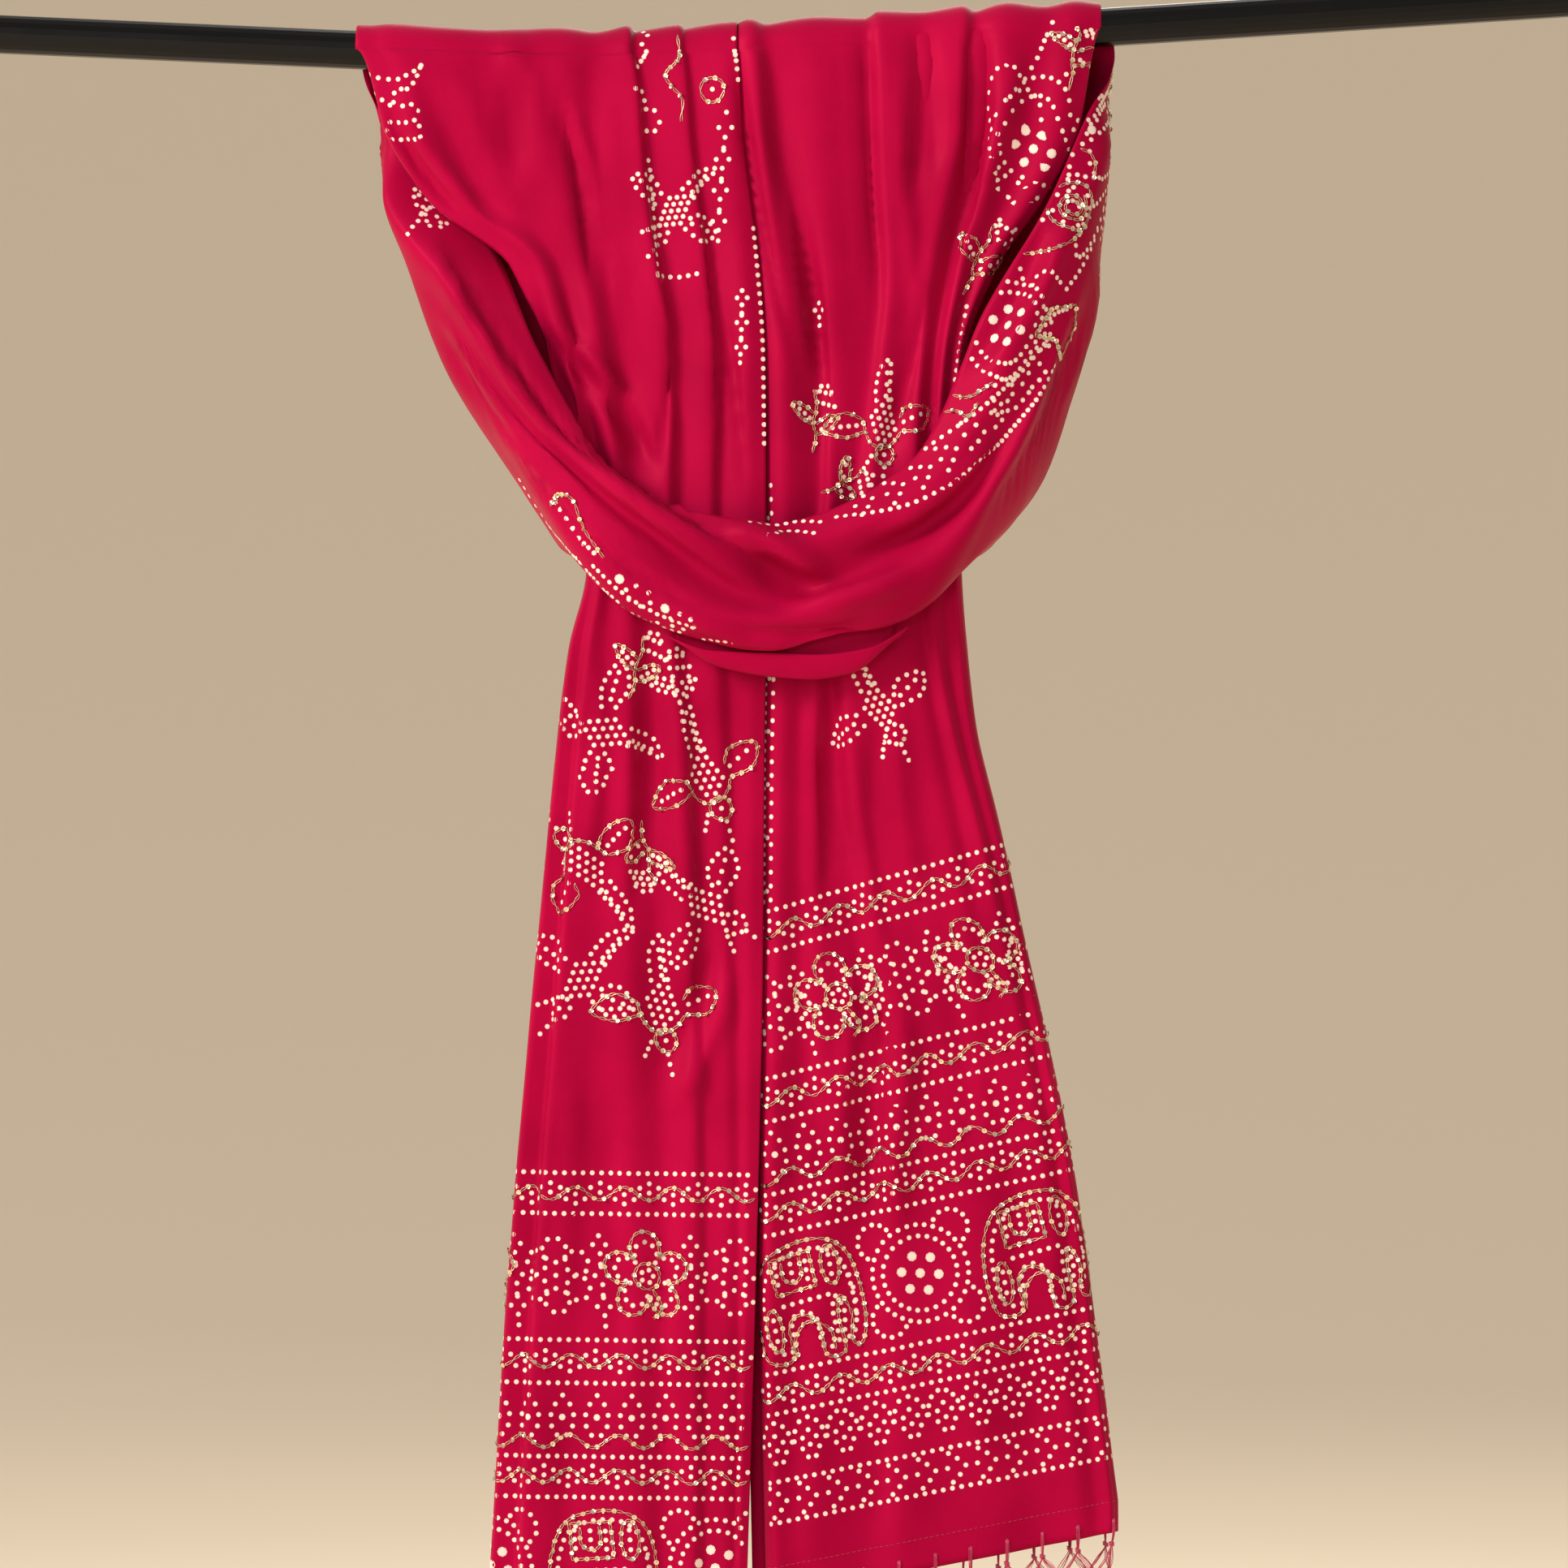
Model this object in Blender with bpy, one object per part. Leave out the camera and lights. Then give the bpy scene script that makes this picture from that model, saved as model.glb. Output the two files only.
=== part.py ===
"""Dupatta stole looped over a round rod with a cow hitch, its two ends hanging in front.

The middle of the stole hangs behind the rod and comes round both sides to the front as a swag.
The two tails come over the rod and hang down behind the swag, to a turned hem and a fringe.
Metres, +Z up. The origin is the rod's axis above the gap between the tails. -Y is the front.
"""

import bmesh
import bpy
import math
import numpy as np

for old in list(bpy.data.objects):
    bpy.data.objects.remove(old, do_unlink=True)

MM = 0.001

# The drape is drawn on a layout grid of 0.42 mm squares: across to the right, down from the top.
GRID = 0.42 * MM
GRID_ACROSS_AT_ORIGIN = 905
GRID_DOWN_AT_ORIGIN = 63

ROD_LENGTH = 0.90
ROD_RADIUS = 10 * MM
ROD_SIDES = 20
ROD_BEND_ACROSS = 729
ROD_SLOPE_LEFT = 0.045
ROD_SLOPE_RIGHT = -0.065
ROD_BEND_SPREAD = 90

WALL = 1.2 * MM
SEAM = 0.4 * MM
ARM_SEAM = 0.6 * MM
WRAP_STEPS = 8
FOLD_TURN = 1.5 * MM
HEM_DEPTH = 16 * MM
HEM_WALL = 1.8 * MM

TASSEL_PITCH = 19 * MM
STRAND_WIDTH = 1.3 * MM
STRAND_PARTING = 1.4 * MM
STRAND_LENGTH = 38 * MM
STRAND_SLANT = 6.2 * MM
STRAND_SWAY = 1.6 * MM
STRAND_TAPER = 0.7
STRAND_UNEVEN = 0.08
STRAND_SWAY_TURN = 2.4
STRAND_LENGTH_TURN = 1.7

# Each strand is drawn out in two steps. Columns: share of its length, share of its slant.
STRAND_STEPS = ((0.5, 0.55), (0.5, 0.45))
FRINGE_STRIP = 2 * MM

# Levels down the tails, in grid squares. The last one is the hem, given for each tail.
LEVELS = (63, 160, 250, 330, 450, 600, 700, 800, 950, 1200, 1550)
LEFT_HEM_LEVEL = 2250
RIGHT_HEM_LEVEL = 1930

# How far a level climbs from a tail's selvedge to its outer fold once it is fully spread.
LEFT_HEM_RISE = -4
RIGHT_HEM_RISE = -88
RISE_FROM_LEVEL = 700
RISE_FULL_AT_LEVEL = 1125
ROWS_PER_LEVEL = (2, 2, 2, 2, 2, 2, 2, 2, 2, 2, 3)

# How far the front layer and the back layer stand off the rod's surface at each level, in mm.
FRONT_LIFT = (0, 1, 2, 4, 8, 11, 11, 10, 8, 6, 4, 4)
BACK_LIFT = (1.15, -1, -2, -3, -4, -5, -5.5, -6, -5, -5, -4, -3)

# Folds of each tail's front layer. Columns: name, place across at each level in grid squares,
# lift over the front layer at each level in mm. Rows run from the outer fold to the middle.
LEFT_FOLDS = (
    ("outer fold",
     (440, 474, 530, 630, 672, 712, 724, 702, 684, 660, 629, 588),
     (2.8, 4, 4, 4, 3, 3, 3, 3, 2, 2, 2, 2)),
    ("turned back strip",
     (462, 497, 552, 645, 682, 720, 733, 716, 704, 684, 656, 616),
     (3, 5, 5, 5, 4, 4, 4, 3, 2, 1.5, 1.5, 2)),
    ("panel edge",
     (490, 528, 580, 668, 700, 730, 742, 728, 714, 694, 667, 628),
     (4, 8, 9, 9, 8, 8, 7, 7, 7, 7, 7, 7)),
    ("outer dip",
     (600, 606, 630, 690, 715, 743, 756, 748, 745, 735, 720, 700),
     (3, 4, 4, 5, 5, 4, 5, 5, 5, 5, 4, 6)),
    ("plain ridge",
     (690, 696, 706, 722, 740, 762, 774, 775, 775, 775, 775, 765),
     (5, 8, 9, 10, 10, 9, 8, 8, 9, 8, 7, 8)),
    ("plain dip",
     (735, 733, 740, 752, 768, 784, 794, 802, 805, 812, 820, 815),
     (3, 4, 4, 4, 4, 4, 4, 4, 3, 3, 3, 4)),
    ("plain fold edge",
     (774, 786, 794, 806, 826, 822, 824, 828, 840, 850, 856, 850),
     (6, 8, 9, 10, 9, 9, 8, 8, 8, 7, 7, 8)),
    ("bordered step",
     (784, 798, 807, 820, 840, 838, 842, 848, 858, 868, 872, 866),
     (2.8, 3, 3, 3, 3, 3, 4, 4, 4, 4, 4, 4)),
    ("bordered ridge",
     (836, 846, 856, 868, 880, 874, 876, 880, 886, 892, 896, 886),
     (5, 7, 7, 8, 8, 7, 7, 7, 7, 6, 5, 6)),
    ("inner step",
     (846, 857, 868, 882, 894, 890, 894, 900, 904, 908, 910, 898),
     (2.8, 3, 3, 3, 3, 3, 4, 4, 4, 4, 4, 4)),
    ("inner ridge",
     (890, 897, 905, 915, 922, 920, 924, 926, 926, 924, 920, 902),
     (5, 7, 7, 8, 8, 7, 6, 6, 6, 6, 6, 6)),
    ("selvedge",
     (908, 915, 926, 936, 943, 944, 945, 944, 942, 940, 932, 911),
     (5.2, 6, 6, 6, 6, 6, 5, 5, 5, 5, 5, 5)),
)
RIGHT_FOLDS = (
    ("outer fold",
     (1356, 1330, 1284, 1228, 1187, 1181, 1184, 1190, 1202, 1253, 1326, 1376),
     (2.8, 3, 3, 2, 2, 2, 2, 2, 2, 3, 3, 3)),
    ("border ridge",
     (1322, 1302, 1264, 1216, 1180, 1175, 1176, 1180, 1193, 1246, 1318, 1366),
     (5, 7, 6, 5, 4, 4, 4, 4, 4, 4, 5, 6)),
    ("border dip",
     (1288, 1268, 1238, 1201, 1172, 1165, 1164, 1168, 1184, 1238, 1306, 1350),
     (3, 3, 3, 3, 3, 3, 3, 3, 4, 4, 4, 4)),
    ("outer ridge",
     (1240, 1230, 1205, 1183, 1161, 1151, 1146, 1152, 1172, 1226, 1288, 1325),
     (6, 8, 8, 8, 7, 7, 7, 7, 8, 7, 7, 7)),
    ("narrow hollow",
     (1203, 1200, 1185, 1168, 1149, 1139, 1130, 1138, 1158, 1203, 1250, 1280),
     (2.8, 1, 1, 1, 2, 3, 4, 5, 6, 4, 4, 4)),
    ("middle ridge",
     (1185, 1180, 1160, 1146, 1132, 1122, 1112, 1120, 1140, 1180, 1210, 1230),
     (6, 8, 8, 8, 8, 8, 8, 8, 8, 7, 7, 7)),
    ("middle panel",
     (1140, 1140, 1130, 1125, 1110, 1098, 1085, 1085, 1100, 1130, 1150, 1160),
     (4, 5, 6, 6, 6, 6, 7, 7, 6, 5, 5, 5)),
    ("panel ridge",
     (1086, 1090, 1094, 1098, 1088, 1072, 1052, 1044, 1052, 1085, 1100, 1105),
     (6, 8, 8, 8, 8, 8, 9, 9, 9, 8, 7, 7)),
    ("deep valley",
     (1066, 1070, 1074, 1080, 1070, 1050, 1032, 1024, 1028, 1052, 1060, 1065),
     (2.8, 3, 3, 4, 4, 3, 2, 1, 0, 2, 3, 4)),
    ("plain ridge",
     (1000, 1005, 1012, 1020, 1024, 1024, 1010, 1004, 1006, 1010, 1010, 1015),
     (5, 7, 8, 8, 7, 7, 7, 6, 6, 6, 6, 6)),
    ("soft hollow",
     (948, 958, 974, 990, 1004, 1008, 1000, 990, 985, 985, 980, 985),
     (2.8, 1, 2, 2, 2, 3, 3, 3, 3, 3, 3, 4)),
    ("thin ridge",
     (925, 936, 948, 958, 966, 968, 968, 966, 962, 958, 950, 958),
     (6, 9, 9, 9, 9, 9, 7, 6, 6, 6, 6, 6)),
    ("selvedge",
     (903, 908, 918, 928, 936, 938, 940, 940, 938, 937, 936, 944),
     (2.8, 2, 2, 2, 1, 0, 0, 0, 0, 0, 0, 0)),
)

# Waves of the back layer, from the outer fold to the free edge near the middle. Columns: share of
# the way across, lift over the back layer in mm, where positive is towards the front.
BACK_WAVES = (
    (0.14, -1.5),
    (0.33, 1.5),
    (0.50, -2.5),
    (0.68, 1.0),
    (0.84, -2.0),
    (0.97, 0.5),
)

# The looped middle of the stole. A row is a line of the cloth that runs along the loop, from
# behind the rod, round one side of the tails, to the middle of the swag. Columns are the places
# "rod", "rear", "turn", "flank", "fore", "front", "near" and "middle", each with its place
# across and down in grid squares and its depth in mm, where negative is towards the front.
LEFT_LOOP = (
    ("upper edge",
     (442, 61, 0), (448, 95, 9), (466, 135, 6), (515, 195, 2),
     (604, 296, -1), (668, 440, -33), (768, 584, -40), (945, 648, -42)),
    ("upper roll",
     (515, 61, 0), (500, 110, 19), (470, 180, 14), (472, 240, -4),
     (540, 340, -26), (655, 500, -43), (775, 610, -50), (945, 682, -53)),
    ("crease",
     (600, 61, 0), (575, 140, 15), (520, 250, 15), (500, 318, -1),
     (556, 400, -23), (665, 545, -37), (790, 650, -43), (945, 735, -45)),
    ("lower roll",
     (690, 61, 0), (655, 175, 27), (590, 330, 29), (548, 446, 2),
     (588, 494, -24), (680, 610, -43), (790, 710, -52), (945, 768, -54)),
    ("under turn",
     (790, 61, 0), (745, 210, 19), (670, 420, 21), (624, 555, 8),
     (672, 640, -10), (718, 700, -36), (790, 763, -43), (945, 801, -45)),
    ("lower edge",
     (895, 61, 0), (850, 240, 25), (765, 480, 28), (668, 622, 14),
     (688, 672, -8), (728, 700, -34), (805, 748, -36), (945, 784, -38)),
)
RIGHT_LOOP = (
    ("upper edge",
     (1372, 36, 0), (1374, 66, 9), (1367, 95, 0), (1343, 135, -12),
     (1290, 252, -26), (1212, 385, -35), (1120, 572, -40), (945, 648, -42)),
    ("upper roll",
     (1300, 37, 0), (1330, 90, 19), (1364, 140, 12), (1367, 180, -6),
     (1325, 290, -29), (1255, 430, -43), (1140, 605, -50), (945, 682, -53)),
    ("crease",
     (1215, 43, 0), (1255, 130, 15), (1325, 230, 15), (1362, 252, -1),
     (1330, 350, -27), (1260, 500, -38), (1140, 655, -44), (945, 735, -45)),
    ("lower roll",
     (1125, 48, 0), (1170, 165, 27), (1260, 310, 29), (1345, 380, 2),
     (1315, 430, -24), (1250, 560, -43), (1140, 700, -52), (945, 768, -54)),
    ("under turn",
     (1025, 55, 0), (1070, 200, 19), (1175, 400, 21), (1292, 566, 8),
     (1262, 622, -12), (1190, 700, -36), (1110, 766, -43), (945, 801, -45)),
    ("lower edge",
     (915, 61, 0), (965, 235, 25), (1065, 470, 28), (1240, 640, 14),
     (1222, 672, -8), (1180, 702, -34), (1088, 750, -36), (945, 784, -38)),
)
LOOP_PLACES = 8
FLANK_PLACE = 3
ARM_STEPS = 3
SWAG_STEPS = 3
ACROSS_STEPS = 2
SEAM_SHARE = 0.02

# The fold that hangs under the swag. Columns: place along the loop, then how far down its bottom
# and its front lip lie, in grid squares.
HANGING_FOLD = (
    (6.25, 788, 784),
    (6.6, 822, 803),
    (7.0, 834, 806),
    (7.35, 838, 808),
    (7.7, 830, 800),
    (8.1, 790, 772),
)
HANGING_FOLD_DEPTH = 7 * MM
HANGING_FOLD_SWELL = 0.8 * MM
HANGING_FOLD_STEPS = 10

CLOTH_COLOUR = (0.552, 0.003, 0.045, 1.0)
SILK_COLOUR = (0.60, 0.01, 0.08, 1.0)
ROD_COLOUR = (0.008, 0.008, 0.009, 1.0)


def flow(knots, values, places):
    """Values of a table at new places, smooth between its knots and never past them."""
    knots = np.asarray(knots, float)
    values = np.asarray(values, float)
    places = np.atleast_1d(np.asarray(places, float))
    span = np.diff(knots).reshape((-1,) + (1,) * (values.ndim - 1))
    secant = np.diff(values, axis=0) / span
    before, after = secant[:-1], secant[1:]
    same_way = before * after > 0
    total = np.where(same_way, before + after, 1.0)
    inner = np.where(same_way, 2 * before * after / total, 0.0)
    slope = np.concatenate([secant[:1], inner, secant[-1:]])
    index = np.clip(np.searchsorted(knots, places, side="right") - 1, 0, len(knots) - 2)
    step = span[index]
    t = ((places - knots[index]) / np.diff(knots)[index]).reshape(step.shape)
    return (
        (2 * t**3 - 3 * t**2 + 1) * values[index]
        + (t**3 - 2 * t**2 + t) * step * slope[index]
        + (3 * t**2 - 2 * t**3) * values[index + 1]
        + (t**3 - t**2) * step * slope[index + 1]
    )


def x_of(across):
    """Metres to the right of the origin for a place across the grid."""
    return (np.asarray(across, float) - GRID_ACROSS_AT_ORIGIN) * GRID


def z_of(down):
    """Metres above the origin for a place down the grid."""
    return (GRID_DOWN_AT_ORIGIN - np.asarray(down, float)) * GRID


def rod_z(x):
    """Height of the rod's axis: two straight runs joined by a short bend, through the origin."""
    spread = ROD_BEND_SPREAD * GRID
    mean = (ROD_SLOPE_LEFT + ROD_SLOPE_RIGHT) / 2
    half = (ROD_SLOPE_LEFT - ROD_SLOPE_RIGHT) / 2
    away = np.asarray(x, float) - x_of(ROD_BEND_ACROSS)
    at_origin = -x_of(ROD_BEND_ACROSS)
    rise = half * (np.sqrt(away**2 + spread**2) - math.hypot(at_origin, spread))
    return rise - mean * (away - at_origin)


def material(name, colour, roughness, metallic=0.0, sheen=0.0):
    """A Principled material for one piece."""
    made = bpy.data.materials.new(name)
    made.use_nodes = True
    shader = made.node_tree.nodes["Principled BSDF"]
    shader.inputs["Base Color"].default_value = colour
    shader.inputs["Roughness"].default_value = roughness
    shader.inputs["Metallic"].default_value = metallic
    shader.inputs["Sheen Weight"].default_value = sheen
    made.diffuse_color = colour
    return made


def add_object(name, verts, faces, piece_material):
    """A mesh object with smooth faces."""
    mesh = bpy.data.meshes.new(name)
    mesh.from_pydata([tuple(v) for v in verts], [], faces)
    mesh.materials.append(piece_material)
    mesh.shade_smooth()
    made = bpy.data.objects.new(name, mesh)
    bpy.context.scene.collection.objects.link(made)
    return made


def grid_faces(rows, columns):
    """Quads of a grid of points, row by row."""
    return [
        (r * columns + c, r * columns + c + 1, (r + 1) * columns + c + 1, (r + 1) * columns + c)
        for r in range(rows - 1)
        for c in range(columns - 1)
    ]


def cloth(name, points, wall=WALL):
    """A cloth wall of even thickness through a grid of points."""
    rows, columns = points.shape[:2]
    made = add_object(
        name,
        points.reshape(-1, 3),
        grid_faces(rows, columns),
        material(name + "_cloth", CLOTH_COLOUR, 0.5, sheen=0.3),
    )
    solid = made.modifiers.new("wall", "SOLIDIFY")
    solid.thickness = wall
    solid.offset = 0.0
    return made


def level_table(folds, hem_level):
    """Levels, places across and lifts of one tail's front folds, as arrays."""
    levels = np.array(LEVELS + (hem_level,), float)
    across = np.array([row[1] for row in folds], float)
    lift = np.array([row[2] for row in folds], float) + np.array(FRONT_LIFT, float)
    return levels, across, lift


def tail_section(folds, hem_level, down):
    """One level of a tail, from the selvedge, round the outer fold, to the back layer's free edge.

    Gives the places across in metres and the lifts off the rod's surface in metres.
    """
    levels, across, lift = level_table(folds, hem_level)
    front_x = x_of(flow(levels, across.T, down)[0])
    front_lift = flow(levels, lift.T, down)[0] * MM
    back_lift = flow(levels, np.array(BACK_LIFT, float), down)[0] * MM
    loose = min(1.0, max(0.0, (down - LEVELS[0]) / (LEVELS[3] - LEVELS[0])))
    outer_x, inner_x = front_x[0], front_x[-1]
    inward = math.copysign(1.0, inner_x - outer_x)
    section = [(x, lifted) for x, lifted in zip(front_x[::-1], front_lift[::-1])]
    section[-1] = (outer_x + inward * FOLD_TURN, front_lift[0])
    section.append((outer_x, (front_lift[0] + back_lift) / 2))
    section.append((outer_x + inward * FOLD_TURN, back_lift))
    for share, wave in BACK_WAVES:
        across_x = outer_x + (inner_x - outer_x) * share
        section.append((across_x, back_lift + wave * MM * loose))
    return np.array(section)


def tail_downs(hem_level):
    """The levels of a tail's rows, from the rod to the hem."""
    levels = LEVELS + (hem_level,)
    downs = [levels[0]]
    for top, bottom, count in zip(levels[:-1], levels[1:], ROWS_PER_LEVEL):
        downs += [top + (bottom - top) * k / count for k in range(1, count + 1)]
    return downs


def hanging_row(section, down, rise):
    """A row of points of a tail at one level; the hem end rises towards its outer fold."""
    x = section[:, 0]
    share_down = np.clip((down - LEVELS[0]) / (LEVELS[1] - LEVELS[0]), 0, 1)
    level = down + rise * (x - x[0]) / (x.max() - x.min()) * math.copysign(1, x.mean() - x[0])
    z = z_of(level)
    z = rod_z(x) * (1 - share_down) + z * share_down
    return np.stack([x, -(ROD_RADIUS + section[:, 1]), z], axis=1)


def rise_at(down, hem_rise):
    """How much of the hem's rise a level takes: none above the waist, all of it lower down."""
    share = np.clip((down - RISE_FROM_LEVEL) / (RISE_FULL_AT_LEVEL - RISE_FROM_LEVEL), 0, 1)
    return hem_rise * share * share * (3 - 2 * share)


def tail_points(folds, hem_level, hem_rise):
    """The whole grid of a tail: from behind the rod, over it and down to the hem."""
    top = tail_section(folds, hem_level, LEVELS[0])
    rows = []
    for k in range(WRAP_STEPS):
        angle = math.pi * k / WRAP_STEPS
        reach = ROD_RADIUS + top[:, 1]
        x = top[:, 0]
        rows.append(np.stack([x, reach * math.cos(angle), rod_z(x) + reach * math.sin(angle)], 1))
    for down in tail_downs(hem_level):
        section = tail_section(folds, hem_level, down)
        rows.append(hanging_row(section, down, rise_at(down, hem_rise)))
    return np.array(rows)


def hem_points(folds, hem_level, hem_rise, start, depth):
    """Two rows under a tail's last row, for the turned hem or the fringe's strip."""
    section = tail_section(folds, hem_level, hem_level)
    row = hanging_row(section, hem_level, hem_rise)
    top = row - np.array([0, 0, start])
    return np.array([top, top - np.array([0, 0, depth])])


def loop_table():
    """Lines of the loop as an array: place along the loop, line, then x, y and z."""
    sides = []
    for table in (LEFT_LOOP, RIGHT_LOOP):
        spots = np.array([row[1:] for row in table], float).transpose(1, 0, 2)
        points = np.stack([x_of(spots[..., 0]), spots[..., 2] * MM, z_of(spots[..., 1])], axis=-1)
        sides.append(points)
    for points, folds in zip(sides, (LEFT_FOLDS, RIGHT_FOLDS)):
        across = x_of([row[1][0] for row in folds])
        lift = np.array([row[2][0] for row in folds]) * MM
        order = np.argsort(across)
        x = points[0, :, 0]
        points[0, :, 1] = ROD_RADIUS + np.interp(x, across[order], lift[order])
        points[0, :, 2] = rod_z(x) - ARM_SEAM
    return np.concatenate([sides[0], sides[1][-2::-1]])


def loop_points(first, last, steps, across_steps=ACROSS_STEPS):
    """The loop's grid between two places along it."""
    table = loop_table()
    lines = table.shape[1]
    along = flow(np.arange(len(table)), table, np.linspace(first, last, steps + 1))
    across = np.linspace(0, lines - 1, (lines - 1) * across_steps + 1)
    return flow(np.arange(lines), along.transpose(1, 0, 2), across).transpose(1, 0, 2)


def hanging_fold_points():
    """The fold under the swag: from behind the swag's lower edge, down, and up to a front lip."""
    table = loop_table()
    spots = np.array(HANGING_FOLD, float)
    edge = flow(np.arange(len(table)), table, spots[:, 0])
    start = edge[:, -1] + np.array([0, WALL + SEAM, 0])
    turn = edge[:, -2]
    middle_y = start[:, 1] - HANGING_FOLD_DEPTH / 2
    bottom = np.stack([start[:, 0], middle_y, z_of(spots[:, 1])], 1)
    lip = np.stack([turn[:, 0], start[:, 1] - HANGING_FOLD_DEPTH, z_of(spots[:, 2])], 1)
    back = (start + bottom) / 2 + np.array([0, HANGING_FOLD_SWELL, 0])
    front = (bottom + lip) / 2 - np.array([0, HANGING_FOLD_SWELL, HANGING_FOLD_SWELL])
    rows = np.array([start, back, bottom, front, lip])
    last = len(spots) - 1
    return flow(np.arange(last + 1), rows.transpose(1, 0, 2), np.linspace(0, last, HANGING_FOLD_STEPS + 1))


def build_rod():
    """The round rod, with flat ends square to its own axis."""
    half = ROD_LENGTH / 2
    bend = x_of(ROD_BEND_ACROSS)
    near_bend = bend + np.linspace(-2, 2, 9) * ROD_BEND_SPREAD * GRID
    stations = np.concatenate([[-half], near_bend, [half]])
    verts = []
    for x in stations:
        slope = (rod_z(x + MM) - rod_z(x - MM)) / (2 * MM)
        tilt = math.atan(slope)
        for k in range(ROD_SIDES):
            turn = 2 * math.pi * k / ROD_SIDES
            up = ROD_RADIUS * math.sin(turn)
            verts.append((
                x - up * math.sin(tilt),
                ROD_RADIUS * math.cos(turn),
                float(rod_z(x)) + up * math.cos(tilt),
            ))
    faces = []
    for s in range(len(stations) - 1):
        for k in range(ROD_SIDES):
            nxt = (k + 1) % ROD_SIDES
            here, there = s * ROD_SIDES, (s + 1) * ROD_SIDES
            faces.append((here + k, here + nxt, there + nxt, there + k))
    last = (len(stations) - 1) * ROD_SIDES
    faces.append(tuple(reversed(range(ROD_SIDES))))
    faces.append(tuple(last + k for k in range(ROD_SIDES)))
    rod = add_object("rod", verts, faces, material("rod_steel", ROD_COLOUR, 0.3))
    rod.data.set_sharp_from_angle(angle=math.radians(40))
    return rod


def strip_cuts(length):
    """Distances along a hem where the fringe's strip is cut, and which pieces carry a strand."""
    cuts = [0.0]
    carries = []
    count = int(length / TASSEL_PITCH)
    margin = (length - count * TASSEL_PITCH) / 2
    pair = 2 * STRAND_WIDTH + STRAND_PARTING
    for k in range(count):
        left = margin + k * TASSEL_PITCH + (TASSEL_PITCH - pair) / 2
        cuts += [left, left + STRAND_WIDTH, left + STRAND_WIDTH + STRAND_PARTING, left + pair]
        carries += [0, -1, 0, 1]
    cuts.append(length)
    carries.append(0)
    return np.array(cuts), carries


def build_fringe(name, folds, hem_level, hem_rise):
    """A narrow strip under the hem with slanting strands drawn out of its lower side."""
    strip = hem_points(folds, hem_level, hem_rise, HEM_DEPTH + 2 * SEAM, FRINGE_STRIP)
    steps = np.linalg.norm(np.diff(strip[0], axis=0), axis=1)
    run = np.concatenate([[0], np.cumsum(steps)])
    cuts, carries = strip_cuts(run[-1])
    points = np.array([
        np.stack([np.interp(cuts, run, row[:, axis]) for axis in range(3)], 1) for row in strip
    ])
    tangent = np.gradient(points[0], axis=0)
    tangent[:, 2] = 0
    tangent /= np.linalg.norm(tangent, axis=1)[:, None]
    normal = np.stack([-tangent[:, 1], tangent[:, 0], tangent[:, 2]], 1) * WALL / 2
    bm = bmesh.new()
    ring = [[bm.verts.new(p) for p in points[row] + side * normal]
            for row, side in ((0, 1), (0, -1), (1, -1), (1, 1))]
    cells = len(cuts) - 1
    under = []
    for c in range(cells):
        for a in range(4):
            b = (a + 1) % 4
            face = bm.faces.new((ring[a][c], ring[a][c + 1], ring[b][c + 1], ring[b][c]))
            if a == 2:
                under.append(face)
    bm.faces.new([ring[a][0] for a in range(4)])
    bm.faces.new([ring[a][cells] for a in reversed(range(4))])
    number = 0
    for face, slant in zip(under, carries):
        if slant == 0:
            continue
        number += 1
        index = under.index(face)
        side = tangent[index] * slant
        out = normal[index] / np.linalg.norm(normal[index])
        sway = STRAND_SWAY * math.sin(STRAND_SWAY_TURN * number)
        length = STRAND_LENGTH * (1 + STRAND_UNEVEN * math.sin(STRAND_LENGTH_TURN * number))
        for share, shift in STRAND_STEPS:
            grown = bmesh.ops.extrude_discrete_faces(bm, faces=[face])
            face = grown["faces"][0]
            move = side * STRAND_SLANT * shift + out * sway * share
            middle = face.calc_center_median()
            for vert in face.verts:
                inward = (middle - vert.co) * (1 - STRAND_TAPER)
                vert.co += inward
                vert.co.x += move[0]
                vert.co.y += move[1]
                vert.co.z -= length * share
    bmesh.ops.recalc_face_normals(bm, faces=bm.faces)
    mesh = bpy.data.meshes.new(name)
    bm.to_mesh(mesh)
    bm.free()
    mesh.materials.append(material(name + "_silk", SILK_COLOUR, 0.35, sheen=0.2))
    made = bpy.data.objects.new(name, mesh)
    bpy.context.scene.collection.objects.link(made)
    return made


def build_tail(side, folds, hem_level, hem_rise):
    """One tail with its turned hem and its fringe."""
    cloth(side + "_tail", tail_points(folds, hem_level, hem_rise))
    hem = hem_points(folds, hem_level, hem_rise, SEAM, HEM_DEPTH)
    cloth(side + "_hem", hem, HEM_WALL)
    build_fringe(side + "_fringe", folds, hem_level, hem_rise)


def build_loop():
    """The two arms behind the tails, the swag in front and the fold that hangs under it."""
    last_place = 2 * (LOOP_PLACES - 1)
    right_flank = last_place - FLANK_PLACE
    cloth("left_arm", loop_points(0, FLANK_PLACE - SEAM_SHARE, FLANK_PLACE * ARM_STEPS))
    swag_steps = (right_flank - FLANK_PLACE) * SWAG_STEPS
    cloth("swag", loop_points(FLANK_PLACE + SEAM_SHARE, right_flank - SEAM_SHARE, swag_steps))
    cloth("right_arm", loop_points(right_flank + SEAM_SHARE, last_place, FLANK_PLACE * ARM_STEPS))
    cloth("swag_fold", hanging_fold_points())


build_rod()
build_tail("left", LEFT_FOLDS, LEFT_HEM_LEVEL, LEFT_HEM_RISE)
build_tail("right", RIGHT_FOLDS, RIGHT_HEM_LEVEL, RIGHT_HEM_RISE)
build_loop()
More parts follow.
